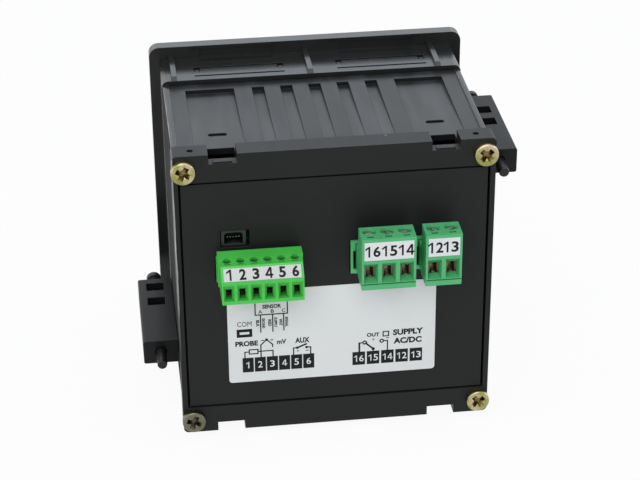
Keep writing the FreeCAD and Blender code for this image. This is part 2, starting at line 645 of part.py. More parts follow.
def cover_hook(side):
    """Hook on the ledge of a latch notch."""
    width, length, rise = HOOK
    floor = COVER_HALF - NOTCH_DEPTH
    end = REAR_Y - HOOK_BACK
    outline = [(end - length, floor), (end - length / 2, floor + rise), (end, floor + rise), (end, floor)]
    return side_profile(outline, about(side * NOTCH_MIDDLE, width))


def rear_cover():
    """Frame that closes the sleeve and holds the rear panel."""
    shape = rounded_prism(COVER_HALF, COVER_HALF, COVER_RADIUS, COVER_FRONT, REAR_Y)
    shape = shape.cut([
        rounded_prism(OPENING_X, SPIGOT_Z + FIT, SLEEVE_RADIUS, COVER_FRONT - BEYOND, COVER_INSIDE),
        rounded_prism(OPENING_X, OPENING_Z, FIT, COVER_FRONT - BEYOND, REAR_Y + BEYOND)])
    bosses = [block((sx * COLUMN_X, sx * (OPENING_X + SEAT)), (COVER_FRONT, COVER_INSIDE),
                    (sz * COLUMN_Z, sz * (SPIGOT_Z + 2 * FIT))) for sx, sz in CORNERS]
    shape = shape.fuse(bosses)
    top = cover_top_cuts()
    cuts = top + [turned_over(cut) for cut in top]
    for sx, sz in CORNERS:
        cuts.append(rod(SCREW_HOLE, sx * SCREW_X, sz * SCREW_Z, COVER_FRONT - BEYOND, REAR_Y + BEYOND))
    hooks = [cover_hook(side) for side in SIGNS]
    shape = shape.cut(cuts).fuse(hooks + [turned_over(hook) for hook in hooks])
    return shape.removeSplitter()


def cover_screw(sx, sz):
    """Pan-head screw through the cover into a column of the sleeve."""
    x, z = sx * SCREW_X, sz * SCREW_Z
    top = REAR_Y + SCREW_HEAD_HEIGHT
    outline = [(0, REAR_Y - SCREW_LENGTH), (SCREW_RADIUS, REAR_Y - SCREW_LENGTH), (SCREW_RADIUS, REAR_Y),
               (SCREW_HEAD_RADIUS, REAR_Y), (SCREW_HEAD_RADIUS, top - SCREW_HEAD_ROUND),
               (SCREW_HEAD_RADIUS - SCREW_HEAD_ROUND / 3, top - SCREW_HEAD_ROUND / 3),
               (SCREW_HEAD_RADIUS - SCREW_HEAD_ROUND, top), (0, top)]
    corners = [Vector(x + radius, y, z) for radius, y in outline]
    face = Part.Face(Part.makePolygon(corners + corners[:1]))
    return face.revolve(Vector(x, 0, z), Vector(0, 1, 0), 360)


def plug_width(kind, poles):
    return poles * kind.pitch + kind.margin


def header_span(kind, poles, centre):
    """Header along X: the plug's width and an end wall each side."""
    low, high = about(centre, plug_width(kind, poles))
    return (low - kind.header_sides[1], high + kind.header_sides[0])


TWO_WAY_CENTRE = (header_span(BROAD, THREE_WAY_POLES, THREE_WAY_CENTRE)[0] - HEADER_GAP
                  - header_span(BROAD, TWO_WAY_POLES, 0)[1])
BLOCKS = (("6way", FINE, SIX_WAY_POLES, SIX_WAY_CENTRE), ("3way", BROAD, THREE_WAY_POLES, THREE_WAY_CENTRE),
          ("2way", BROAD, TWO_WAY_POLES, TWO_WAY_CENTRE))


def depth(length):
    """Place along Y of a length behind the case's rear face."""
    return REAR_Y + length


def height(rise):
    """Place along Z of a height above the main board."""
    return MAIN_BOARD_TOP + rise


def heights(rises):
    return (height(rises[0]), height(rises[1]))


def pole_places(kind, poles, centre):
    """Middles of the poles along X."""
    return [centre + (i - (poles - 1) / 2) * kind.pitch for i in range(poles)]


def header_cavity(kind, poles, centre):
    """Room for the plug's nose in a header."""
    low, high = heights(kind.nose_heights)
    x_low, x_high = about(centre, plug_width(kind, poles) + 2 * NOSE_GAP)
    y_span = (depth(kind.header_start + kind.header_back), depth(kind.header_end + BEYOND))
    shape = block((x_low, x_high), y_span, (low - NOSE_GAP, high + NOSE_GAP))
    if kind.end_slot:
        width, slot_low, slot_high = kind.end_slot
        shape = shape.fuse(block((x_high - NOSE_GAP, x_high - NOSE_GAP + width), y_span,
                                 heights((slot_low, slot_high))))
    return shape


def header(kind, poles, centre):
    """Shroud on the main board that a plug goes into."""
    y_span = (depth(kind.header_start), depth(kind.header_end))
    shape = block(header_span(kind, poles, centre), y_span, heights((0, kind.header_height)))
    holes = [block(about(x, kind.pin), (depth(kind.header_start - BEYOND), depth(0)),
                   about(height(kind.pin_height), kind.pin)) for x in pole_places(kind, poles, centre)]
    return shape.cut([header_cavity(kind, poles, centre)] + holes)


def pin_tail(kind, x, clearance):
    """Upright end of a pin, which goes down through the main board."""
    start = depth(kind.header_start - kind.tail)
    bottom = MAIN_BOARD_TOP - BOARD_THICKNESS - kind.pin
    return block(about(x, kind.pin + 2 * clearance), (start - clearance, start + kind.pin + clearance),
                 (bottom, height(kind.pin_height) + kind.pin / 2))


def header_pin(kind, x):
    """Square pin, bent down into the main board."""
    straight = block(about(x, kind.pin), (depth(kind.header_start - kind.tail), depth(kind.pin_end)),
                     about(height(kind.pin_height), kind.pin))
    return straight.fuse(pin_tail(kind, x, 0)).removeSplitter()


def plug_outline(kind):
    """Side view of a plug: wire face, number face, screw face, collar and nose."""
    collar_start, collar_end = [depth(y) for y in kind.collar]
    collar_high = height(kind.collar_heights[1])
    nose_low, nose_high = heights(kind.nose_heights)
    front = depth(kind.front)
    points = [(front, height(kind.bottom)), (front, height(kind.lip)),
              (front - kind.lean, height(kind.crest)), (collar_end, height(kind.crest)),
              (collar_end, collar_high), (collar_start, collar_high), (collar_start, nose_high),
              (depth(kind.nose_start), nose_high), (depth(kind.nose_start), nose_low),
              (collar_start, nose_low), (collar_start, height(kind.bottom))]
    return [p for i, p in enumerate(points) if p != points[i - 1]]


def wire_funnel(kind, x):
    """Tool for a wire entry: a tapered mouth and the hole behind it."""
    front = depth(kind.front)
    wires = []
    for (width, low, high), y in ((kind.funnel, front), (kind.hole, front - kind.funnel_depth)):
        x_low, x_high = about(x, width)
        corners = [Vector(x_low, y, height(low)), Vector(x_high, y, height(low)),
                   Vector(x_high, y, height(high)), Vector(x_low, y, height(high))]
        wires.append(Part.makePolygon(corners + corners[:1]))
    mouth = Part.makeLoft(wires, True, True)
    width, low, high = kind.hole
    hole = block(about(x, width), (front - kind.funnel_depth, front - kind.cell_back + kind.cell[1] / 2),
                 heights((low, high)))
    return mouth.fuse(hole)


def cell_span(kind):
    """Room of a wire cage along Y."""
    start = depth(kind.front - kind.cell_back)
    return (start, start + kind.cell[1])


def cell_middle(kind):
    """Place of the screws and cages along Y."""
    return sum(cell_span(kind)) / 2


def socket_span(kind):
    """Spring socket of a contact along Y, inside the nose."""
    return (depth(kind.nose_start) + kind.pin, cell_span(kind)[0] - kind.pin)


def marker_slot(kind, x):
    """Tool for the slot in front of a screw well that takes a marker card."""
    width, length, deep = kind.marker_slot
    return block(about(x, width), about(depth(kind.front - kind.marker_back), length),
                 (height(kind.crest) - deep, height(kind.crest) + BEYOND))


def plug_housing(kind, poles, centre):
    """Moulded body with a cell, a wire funnel and a screw well for each pole."""
    width = plug_width(kind, poles)
    shape = side_profile(plug_outline(kind), about(centre, width))
    if kind.collar_side:
        collar = block(about(centre, width + 2 * kind.collar_side), [depth(y) for y in kind.collar],
                       heights(kind.collar_heights))
        shape = shape.fuse(collar)
    cuts = []
    cell_start = cell_span(kind)[0]
    tongue_low = height(kind.cage_heights[0]) + kind.cage_wall
    pin_z = height(kind.pin_height)
    for x in pole_places(kind, poles, centre):
        cuts.append(wire_funnel(kind, x))
        cuts.append(block(about(x, kind.cell[0]), cell_span(kind), heights(kind.cell_heights)))
        cuts.append(post(kind.well_radius, x, cell_middle(kind), height(kind.cell_heights[1]) - BEYOND,
                         height(kind.crest) + BEYOND))
        cuts.append(marker_slot(kind, x))
        cuts.append(block(about(x, kind.socket + 2 * FIT), (depth(kind.nose_start) - BEYOND, cell_start),
                          about(pin_z, kind.socket + 2 * FIT)))
        cuts.append(block(about(x, kind.pin + 2 * FIT), (socket_span(kind)[1] - FIT, cell_start + FIT),
                          (tongue_low - FIT, pin_z)))
    if kind.groove:
        front = depth(kind.front)
        cuts.append(block(about(centre, width + BEYOND), (front - GROOVE_SIZE, front + BEYOND),
                          about(height(kind.bottom + kind.groove), GROOVE_SIZE)))
    return shape.cut(cuts).removeSplitter()


def wire_cage(kind, x):
    """Rising cage that grips a wire."""
    wall = kind.cage_wall
    low, high = heights(kind.cage_heights)
    y_span = about(cell_middle(kind), kind.cage[1])
    shape = block(about(x, kind.cage[0]), y_span, (low, high))
    opening = block(about(x, kind.cage[0] - 2 * wall), (y_span[0] - BEYOND, y_span[1] + BEYOND),
                    (low + wall, high - wall))
    screw_hole = post(kind.screw_radius, x, cell_middle(kind), high - wall - BEYOND, high + BEYOND)
    return shape.cut([opening, screw_hole])


def terminal_screw(kind, x):
    """Screw in its well, threaded through the top of the cage."""
    y = cell_middle(kind)
    low, high = heights(kind.head_heights)
    head = post(kind.head_radius, x, y, low, high)
    foot = height(kind.cage_heights[1]) - 2 * kind.cage_wall
    return head.fuse(post(kind.screw_radius, x, y, foot, low)).removeSplitter()


def plug_contact(kind, x):
    """Spring socket for a pin, with a tongue that lies in the cage under the wire."""
    pin_z = height(kind.pin_height)
    start, end = socket_span(kind)
    tongue_low = height(kind.cage_heights[0]) + kind.cage_wall
    tongue_end = cell_middle(kind) + kind.cage[1] / 2
    room = kind.pin + FIT
    socket = block(about(x, kind.socket), (start, end), about(pin_z, kind.socket))
    socket = socket.cut(block(about(x, room), (start - BEYOND, end + BEYOND), about(pin_z, room)))
    web = block(about(x, kind.pin), (end, end + kind.pin), (tongue_low, pin_z + kind.socket / 2))
    tongue = block(about(x, kind.pin), (end, tongue_end), (tongue_low, tongue_low + kind.tongue_thickness))
    return socket.fuse([web, tongue]).removeSplitter()


def number_strip(kind, poles, centre):
    """Adhesive strip on the number face."""
    width = plug_width(kind, poles) - 2 * kind.strip_margin
    low, high = kind.strip_heights
    fall = kind.lean / (kind.crest - kind.lip)
    front = depth(kind.front)
    lower = (front - fall * (low - kind.lip), height(low))
    upper = (front - fall * (high - kind.lip), height(high))
    slope = math.hypot(1, fall)
    out_y, out_z = STRIP_THICKNESS / slope, STRIP_THICKNESS * fall / slope
    points = [lower, upper, (upper[0] + out_y, upper[1] + out_z), (lower[0] + out_y, lower[1] + out_z)]
    return side_profile(points, about(centre, width))


def rear_panel():
    """Plate with the terminal cut-outs, its flange clamped between the cover and the sleeve."""
    field = rounded_prism(OPENING_X - PANEL_GROOVE, OPENING_Z - PANEL_GROOVE, FIT, FLANGE_REAR, PANEL_REAR)
    flange_z = SPIGOT_Z - SEAT
    shape = field.fuse(block(about(0, 2 * (OPENING_X - PANEL_GROOVE)), (FLANGE_FRONT, FLANGE_REAR),
                             (-flange_z, flange_z)))
    cuts = [block((sx * (COLUMN_X - FIT), sx * COVER_HALF), (FLANGE_FRONT - BEYOND, FLANGE_REAR + SEAT),
                  (sz * (COLUMN_Z - FIT), sz * COVER_HALF)) for sx, sz in CORNERS]
    through = (FLANGE_FRONT - BEYOND, REAR_Y + BEYOND)
    for _, kind, poles, centre in BLOCKS:
        low, high = heights((0, kind.header_height))
        left, right = header_span(kind, poles, centre)
        cuts.append(block((left - CUTOUT_GAP, right + CUTOUT_GAP), through,
                          (low - CUTOUT_GAP, high + CUTOUT_GAP)))
    socket_x = (SOCKET_CENTRE - SOCKET_SIZE[0] / 2 - SOCKET_SIDE_GAP,
                SOCKET_CENTRE + SOCKET_SIZE[0] / 2 + CUTOUT_GAP)
    cuts.append(block(socket_x, through, (LOGIC_TOP - CUTOUT_GAP, LOGIC_TOP + SOCKET_SIZE[2] + CUTOUT_GAP)))
    return shape.cut(cuts).removeSplitter()


def wiring_label():
    """Printed sheet on the rear panel, cut out round the plugs by lying below them."""
    label = rounded_prism(LABEL_SIZE[0] / 2, LABEL_SIZE[1] / 2, LABEL_RADIUS,
                          PANEL_REAR, PANEL_REAR + LABEL_THICKNESS)
    label.translate(Vector(LABEL_CENTRE[0], 0, LABEL_CENTRE[1]))
    return label


def main_board():
    """Lower board across the sleeve, which carries the headers and the power parts."""
    shape = block(about(0, 2 * BOARD_HALF), (BOARD_FRONT, BOARD_REAR),
                  (MAIN_BOARD_TOP - BOARD_THICKNESS, MAIN_BOARD_TOP))
    holes = []
    for _, kind, poles, centre in BLOCKS:
        holes += [pin_tail(kind, x, TAIL_GAP) for x in pole_places(kind, poles, centre)]
    return shape.cut(holes)


def logic_board():
    """Upper half board, held by a rail and by spacers on the main board."""
    return block((LOGIC_EDGE, BOARD_HALF), (BOARD_FRONT, BOARD_REAR),
                 (LOGIC_TOP - BOARD_THICKNESS, LOGIC_TOP))


def board_spacers():
    """Posts between the two boards."""
    places = (BOARD_FRONT + SPACER_ENDS[0], BOARD_REAR - SPACER_ENDS[1])
    return [post(SPACER_RADIUS, LOGIC_EDGE + SPACER_INSET, y, MAIN_BOARD_TOP, LOGIC_TOP - BOARD_THICKNESS)
            for y in places]


def board_connector(place, board_top):
    """Pin strip that joins a board to the display board."""
    middle, width = place
    return block(about(middle, width), (DISPLAY_REAR, DISPLAY_REAR + CONNECTOR_LENGTH),
                 (board_top, board_top + CONNECTOR_HEIGHT))


def service_socket():
    """Socket on the logic board, open to the rear."""
    wide, long, high = SOCKET_SIZE
    rear = PANEL_REAR - SOCKET_RECESS
    shape = block(about(SOCKET_CENTRE, wide), (rear - long, rear), (LOGIC_TOP, LOGIC_TOP + high))
    bevel = high / 8
    left, right = about(SOCKET_CENTRE, wide - 2 * SOCKET_RIM)
    low, top = LOGIC_TOP + SOCKET_LIP, LOGIC_TOP + high - SOCKET_LIP
    outline = [(left, low), (right, low), (right, top - bevel), (right - bevel, top), (left + bevel, top),
               (left, top - bevel)]
    corners = [Vector(x, rear - SOCKET_POCKET, z) for x, z in outline]
    pocket = Part.Face(Part.makePolygon(corners + corners[:1])).extrude(Vector(0, SOCKET_POCKET + BEYOND, 0))
    return shape.cut(pocket)


def socket_contacts():
    """Flat contacts standing on the floor of the socket's pocket."""
    width, length, thickness = SOCKET_CONTACT
    back = PANEL_REAR - SOCKET_RECESS - SOCKET_POCKET
    middle = LOGIC_TOP + SOCKET_SIZE[2] / 2
    first = SOCKET_CENTRE - (SOCKET_CONTACTS - 1) / 2 * SOCKET_CONTACT_PITCH
    places = [first + i * SOCKET_CONTACT_PITCH for i in range(SOCKET_CONTACTS)]
    return [block(about(x, width), (back, back + length), about(middle, thickness)) for x in places]


def chip():
    """Microcontroller with a row of legs on two sides."""
    long, wide, high = CHIP_SIZE
    x, y = sum((LOGIC_EDGE, BOARD_HALF)) / 2, (BOARD_FRONT + BOARD_REAR) / 2
    leg_width, leg_length, leg_height = CHIP_LEG
    shape = block(about(x, long), about(y, wide), (LOGIC_TOP, LOGIC_TOP + high))
    legs = []
    for side in SIGNS:
        edge = x + side * long / 2
        for i in range(CHIP_LEGS):
            place = y + (i - (CHIP_LEGS - 1) / 2) * CHIP_PITCH
            legs.append(block((edge, edge + side * leg_length), about(place, leg_width),
                              (LOGIC_TOP, LOGIC_TOP + leg_height)))
    return shape.fuse(legs)


def relay_place():
    """Corner of the relay towards the side wall and the headers."""
    return (-BOARD_HALF + RELAY_EDGE, depth(BROAD.header_start - BROAD.tail) - PART_GAP)


def relay():
    """Output relay on the main board."""
    long, wide, high = RELAY_SIZE
    x, y = relay_place()
    shape = block((x, x + long), (y - wide, y), (MAIN_BOARD_TOP, MAIN_BOARD_TOP + high))
    uprights = [e for e in shape.Edges if e.BoundBox.ZLength > high / 2]
    return shape.makeFillet(FIT * 4, uprights)


def transformer_box():
    """Spans of the transformer's core in front of the relay."""
    x, y = relay_place()
    long, wide, high = TRANSFORMER_SIZE
    y_end = y - RELAY_SIZE[1] - PART_GAP - WINDING_OVERHANG
    return (x, x + long), (y_end - wide, y_end), (MAIN_BOARD_TOP, MAIN_BOARD_TOP + high)


def winding_spans():
    """Spans of the two windows of the core along X and along Z."""
    x_span, _, z_span = transformer_box()
    middle = sum(x_span) / 2
    z_window = (z_span[0] + TRANSFORMER_LEG, z_span[1] - TRANSFORMER_LEG)
    return [(x_span[0] + TRANSFORMER_LEG, middle - TRANSFORMER_LEG),
            (middle + TRANSFORMER_LEG, x_span[1] - TRANSFORMER_LEG)], z_window


def transformer_core():
    """Laminated core with a window each side of its middle leg."""
    x_span, y_span, z_span = transformer_box()
    windows, z_window = winding_spans()
    through = (y_span[0] - BEYOND, y_span[1] + BEYOND)
    return block(x_span, y_span, z_span).cut([block(window, through, z_window) for window in windows])


def transformer_winding():
    """Winding round the middle leg, filling both windows."""
    _, y_span, _ = transformer_box()
    windows, z_window = winding_spans()
    outer = (windows[0][0] + SEAT, windows[1][1] - SEAT)
    inner = (windows[0][1] - SEAT, windows[1][0] + SEAT)
    z_span = (z_window[0] + SEAT, z_window[1] - SEAT)
    shape = block(outer, (y_span[0] - WINDING_OVERHANG, y_span[1] + WINDING_OVERHANG), z_span)
    leg = block(inner, (y_span[0] - SEAT, y_span[1] + SEAT), (z_span[0] - BEYOND, z_span[1] + BEYOND))
    return shape.cut(leg)


def can_places():
    """Middles of the capacitors in a row beside the relay."""
    x = relay_place()[0] + RELAY_SIZE[0] + PART_GAP + CAPACITOR_RADIUS
    y = relay_place()[1] - CAPACITOR_RADIUS
    step = 2 * CAPACITOR_RADIUS + PART_GAP / 2
    return [(x + i * step, y) for i in range(CAPACITORS)]


def capacitors():
    """Cans beside the relay."""
    cans = []
    for x, y in can_places():
        can = post(CAPACITOR_RADIUS, x, y, MAIN_BOARD_TOP, MAIN_BOARD_TOP + CAPACITOR_HEIGHT)
        top = [e for e in can.Edges if e.isClosed() and e.BoundBox.ZMin > MAIN_BOARD_TOP]
        cans.append(can.makeChamfer(CAPACITOR_BEVEL, top))
    return cans


def fuse_can():
    """Round fuse in front of the last can."""
    x, y = can_places()[-1]
    y -= CAPACITOR_RADIUS + PART_GAP + FUSE_RADIUS
    return post(FUSE_RADIUS, x, y, MAIN_BOARD_TOP, MAIN_BOARD_TOP + FUSE_HEIGHT)


def clip_bracket():
    """Left clamp bracket: a block with hooks for the sleeve, a bore for the screw and open windows."""
    outer = CLIP_INNER + CLIP_WIDTH
    y_end = CLIP_START + CLIP_LENGTH
    shape = block((CLIP_INNER, outer), (CLIP_START, y_end), about(CLIP_Z, CLIP_HEIGHT))
    lengthwise = [e for e in shape.Edges if e.BoundBox.YLength > CLIP_LENGTH / 2]
    long_edges = [e for e in lengthwise if e.BoundBox.XMin > CLIP_INNER]
    shape = shape.makeFillet(CLIP_RADIUS, long_edges)
    hooks = []
    for start in HOOK_STARTS:
        y_low = CLIP_START + start
        reach = SLEEVE_X - HOOK_DEPTH
        hooks.append(block((reach, CLIP_INNER), (y_low, y_low + HOOK_LENGTH), about(CLIP_Z, HOOK_WIDTH)))
        hooks.append(block((reach, SLEEVE_X - HOOK_DEPTH / 2), (y_low - HOOK_LIP, y_low),
                           about(CLIP_Z, HOOK_WIDTH)))
    cuts = [rod(CLAMP_RADIUS + FIT, CLAMP_X, CLIP_Z, CLIP_START - BEYOND, y_end + BEYOND)]
    faces = ((1, CLIP_TOP_WINDOWS), (-1, CLIP_UNDER_WINDOWS))
    for side, starts in faces:
        face = CLIP_Z + side * CLIP_HEIGHT / 2
        for start in starts:
            y_low = CLIP_START + start
            cuts.append(block(about(CLAMP_X, CLIP_WINDOW_WIDTH), (y_low, y_low + CLIP_WINDOW_LENGTH),
                              (face - side * CLIP_WINDOW_DEPTH, face + side * BEYOND)))
    return shape.fuse(hooks).cut(cuts).removeSplitter()


def clamp_screw():
    """Left clamp screw with its disc foot."""
    start = CLAMP_FOOT_PLACE
    shaft = rod(CLAMP_RADIUS, CLAMP_X, CLIP_Z, start, start + CLAMP_LENGTH)
    end = [e for e in shaft.Edges if e.isClosed() and e.BoundBox.YMin > start]
    shaft = shaft.makeChamfer(CLAMP_CHAMFER, end)
    foot = rod(CLAMP_FOOT_RADIUS, CLAMP_X, CLIP_Z, start, start + CLAMP_FOOT_THICKNESS)
    return shaft.fuse(foot).removeSplitter()


def save_front():
    save("front_bezel", front_bezel())
    save("front_panel", fascia())
    save("display_window", display_window())
    save("display_module", display_module())
    save("display_board", display_board())
    save("display_screws", *[display_screw(sx, sz) for sx, sz in CORNERS])
    save("key_switches", *[key_switch(x) for x in KEY_PLACES])
    for i, x in enumerate(KEY_PLACES, 1):
        save("key_%d" % i, key(x))
        save("key_plunger_%d" % i, key_plunger(x))


def save_case():
    save("case_sleeve", case_sleeve())
    save("rear_cover", rear_cover())
    save("rear_panel", rear_panel())
    save("cover_screws", *[cover_screw(sx, sz) for sx, sz in CORNERS])
    save("wiring_label", wiring_label())
    bracket = clip_bracket()
    screw = clamp_screw()
    save("clip_bracket_left", bracket)
    save("clip_bracket_right", turned_over(bracket))
    save("clamp_screw_left", screw)
    save("clamp_screw_right", turned_over(screw))


def save_boards():
    save("main_board", main_board())
    save("logic_board", logic_board())
    save("board_spacers", *board_spacers())
    save("main_connector", board_connector(MAIN_CONNECTOR, MAIN_BOARD_TOP))
    save("logic_connector", board_connector(LOGIC_CONNECTOR, LOGIC_TOP))
    save("service_socket", service_socket())
    save("service_contacts", *socket_contacts())
    save("microcontroller", chip())
    save("output_relay", relay())
    save("transformer_core", transformer_core())
    save("transformer_winding", transformer_winding())
    save("filter_capacitors", *capacitors())
    save("line_fuse", fuse_can())


def save_terminals():
    for name, kind, poles, centre in BLOCKS:
        places = pole_places(kind, poles, centre)
        save("header_" + name, header(kind, poles, centre))
        save("header_pins_" + name, *[header_pin(kind, x) for x in places])
        save("plug_%s_housing" % name, plug_housing(kind, poles, centre))
        save("plug_%s_cages" % name, *[wire_cage(kind, x) for x in places])
        save("plug_%s_screws" % name, *[terminal_screw(kind, x) for x in places])
        save("plug_%s_contacts" % name, *[plug_contact(kind, x) for x in places])
        save("plug_%s_strip" % name, number_strip(kind, poles, centre))


def main():
    os.makedirs("parts", exist_ok=True)
    save_front()
    save_case()
    save_boards()
    save_terminals()


main()
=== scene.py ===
"""Temperature controller for a panel: finishes, print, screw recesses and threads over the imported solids."""
import math

import bpy
from mathutils import Euler, Matrix, Vector


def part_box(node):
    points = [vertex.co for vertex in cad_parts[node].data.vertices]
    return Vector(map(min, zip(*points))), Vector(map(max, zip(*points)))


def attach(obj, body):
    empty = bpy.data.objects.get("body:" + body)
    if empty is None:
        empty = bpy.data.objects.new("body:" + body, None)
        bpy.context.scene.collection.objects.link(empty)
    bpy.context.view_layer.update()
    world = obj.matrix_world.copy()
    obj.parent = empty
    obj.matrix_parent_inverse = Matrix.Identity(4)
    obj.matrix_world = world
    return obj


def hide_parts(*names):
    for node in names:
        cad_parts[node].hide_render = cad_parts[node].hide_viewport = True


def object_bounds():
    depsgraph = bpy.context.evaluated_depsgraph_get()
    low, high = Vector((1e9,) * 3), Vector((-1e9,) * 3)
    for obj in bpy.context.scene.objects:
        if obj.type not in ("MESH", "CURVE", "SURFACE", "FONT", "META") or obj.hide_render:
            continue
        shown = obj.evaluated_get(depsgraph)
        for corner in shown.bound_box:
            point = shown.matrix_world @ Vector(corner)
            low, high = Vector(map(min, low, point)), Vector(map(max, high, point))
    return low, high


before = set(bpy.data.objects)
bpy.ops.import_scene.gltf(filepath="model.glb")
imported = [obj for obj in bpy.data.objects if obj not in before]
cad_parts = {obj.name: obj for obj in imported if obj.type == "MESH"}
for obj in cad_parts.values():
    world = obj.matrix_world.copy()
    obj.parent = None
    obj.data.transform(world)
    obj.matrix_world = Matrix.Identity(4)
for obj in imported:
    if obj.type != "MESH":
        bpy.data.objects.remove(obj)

bl_info = {
    "name": "Panel temperature controller",
    "version": (1, 0, 0),
    "blender": (4, 5, 0),
    "location": "View3D > Sidebar > Controller",
    "description": "Dresses the solids of a panel-mounted temperature controller and sets its stage",
    "category": "Object",
}

CAD_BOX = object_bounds()
MM = 0.001
TO_REAR = Euler((math.radians(90), 0, math.radians(180)))   # print that reads from behind the panel
TO_FRONT = Euler((math.radians(90), 0, 0))                  # print that reads from in front of it
TOP_TO_REAR = Euler((math.radians(-90), 0, 0))              # the top of a screw points to the rear
LABEL_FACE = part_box("wiring_label")[1].y
INK = 0.015 * MM            # half the thickness of the print
PROUD = 0.015 * MM          # how far a cutter stands out of what it cuts
CAP_SHARE = 0.71            # cap height of the built-in letters, as a share of their size
LETTER_STROKE = 0.121       # their stroke, as a share of their cap height
FIGURE_WIDTH = 0.60         # shares of a figure's height
FIGURE_STEP = 0.72
OUTER_BAND = 43.1 * MM      # from the middle plane to the polished strips on the sleeve's top

LINT = (0.28, 0.28, 0.29, 1.0)
CRUMB = (0.35, 0.35, 0.36, 1.0)
DUST = (0.30, 0.31, 0.33, 1.0)
# painted reflection: bluish streaks on the sleeve's top
REFLECTION_STREAK = (0.26, 0.29, 0.34, 1.0)
# painted highlight on the edges beyond the band
BAND_EDGE_HIGHLIGHT = (0.34, 0.34, 0.35, 1.0)
# partly a scuff, partly a painted highlight along the upper left edges
SCUFF_AND_HIGHLIGHT = (0.60, 0.62, 0.63, 1.0)
# partly bare steel from wear, partly a painted highlight on the crests
CREST_WEAR_AND_HIGHLIGHT = (0.30, 0.30, 0.31, 1.0)
WINDOW_DUST = (0.2, 0.2, 0.2, 1.0)


class ControllerFinishes(bpy.types.PropertyGroup):
    """Colours and gloss of the controller."""
    case_colour: bpy.props.FloatVectorProperty(
        name="Case", description="Moulded case and clamp brackets", subtype="COLOR",
        default=(0.0105, 0.0112, 0.0114), min=0, max=1)
    case_roughness: bpy.props.FloatProperty(
        name="Case roughness", description="Gloss of the case moulding", subtype="FACTOR",
        default=0.36, min=0, max=1)
    bezel_roughness: bpy.props.FloatProperty(
        name="Bezel roughness", description="Gloss of the polished bezel", subtype="FACTOR",
        default=0.24, min=0, max=1)
    panel_roughness: bpy.props.FloatProperty(
        name="Panel roughness", description="Gloss of the grained rear panel", subtype="FACTOR",
        default=0.52, min=0, max=1)
    fine_colour: bpy.props.FloatVectorProperty(
        name="Fine terminals", description="Six-way plug and its header", subtype="COLOR",
        default=(0.064, 0.53, 0.074), min=0, max=1)
    broad_colour: bpy.props.FloatVectorProperty(
        name="Broad terminals", description="Three-way and two-way plugs and headers", subtype="COLOR",
        default=(0.078, 0.435, 0.170), min=0, max=1)
    film_colour: bpy.props.FloatVectorProperty(
        name="Film", description="Wiring label and number strips", subtype="COLOR",
        default=(0.74, 0.76, 0.775), min=0, max=1)
    ink_colour: bpy.props.FloatVectorProperty(
        name="Ink", description="Print on the label and the strips", subtype="COLOR",
        default=(0.010, 0.010, 0.012), min=0, max=1)
    zinc_colour: bpy.props.FloatVectorProperty(
        name="Zinc", description="Passivated cover screws", subtype="COLOR",
        default=(0.30, 0.31, 0.10), min=0, max=1)
    window_colour: bpy.props.FloatVectorProperty(
        name="Window", description="Tint of the display window", subtype="COLOR",
        default=(0.030, 0.008, 0.007), min=0, max=1)


class ControllerPrint(bpy.types.PropertyGroup):
    """Sizes of the print."""
    fine_digit: bpy.props.FloatProperty(
        name="Fine digits", description="Height of the six-way strip's figures", unit="LENGTH",
        default=3.2 * MM, precision=5)
    broad_digit: bpy.props.FloatProperty(
        name="Broad digits", description="Height of the other strips' figures", unit="LENGTH",
        default=3.35 * MM, precision=5)
    label_digit: bpy.props.FloatProperty(
        name="Label digits", description="Height of the figures in the label's boxes", unit="LENGTH",
        default=2.2 * MM, precision=5)
    line_width: bpy.props.FloatProperty(
        name="Line width", description="Lines of the label's signs", unit="LENGTH",
        default=0.35 * MM, precision=5)


class ControllerStage(bpy.types.PropertyGroup):
    """Camera and light."""
    camera_place: bpy.props.FloatVectorProperty(
        name="Camera", description="Place of the camera", subtype="TRANSLATION",
        default=(0.06266, 0.55743, 0.28742))
    camera_target: bpy.props.FloatVectorProperty(
        name="Target", description="Point in the middle of the picture", subtype="TRANSLATION",
        default=(-0.000248, 0.030, -0.00548))
    camera_roll: bpy.props.FloatProperty(
        name="Roll", description="Turn of the camera about its own axis", subtype="ANGLE",
        default=math.radians(-0.499))
    camera_lens: bpy.props.FloatProperty(
        name="Lens", description="Focal length in millimetres", default=111.73)
    far_power: bpy.props.FloatProperty(
        name="Far light", description="Soft light beyond the object that its top mirrors, in watts",
        default=1.3)
    overhead_power: bpy.props.FloatProperty(
        name="Overhead light", description="Soft light straight above the object, in watts", default=2.7)
    rear_power: bpy.props.FloatProperty(
        name="Camera side light", description="Soft light on the terminals, in watts", default=6.4)
    side_power: bpy.props.FloatProperty(
        name="Side light", description="Soft light from each side, in watts", default=3.2)


class Signal:
    """An output socket that adds a Math node when it meets an operator."""

    def __init__(self, finish, socket):
        self.finish = finish
        self.socket = socket

    def math(self, operation, first, second):
        return self.finish.node("ShaderNodeMath", {"operation": operation}, {0: first, 1: second})

    def __add__(self, other):
        return self.math("ADD", self, other)

    def __radd__(self, other):
        return self.math("ADD", other, self)

    def __sub__(self, other):
        return self.math("SUBTRACT", self, other)

    def __rsub__(self, other):
        return self.math("SUBTRACT", other, self)

    def __mul__(self, other):
        return self.math("MULTIPLY", self, other)

    def __rmul__(self, other):
        return self.math("MULTIPLY", other, self)

    def __lt__(self, other):
        return self.math("LESS_THAN", self, other)

    def __abs__(self):
        return self.math("ABSOLUTE", self, 0.0)


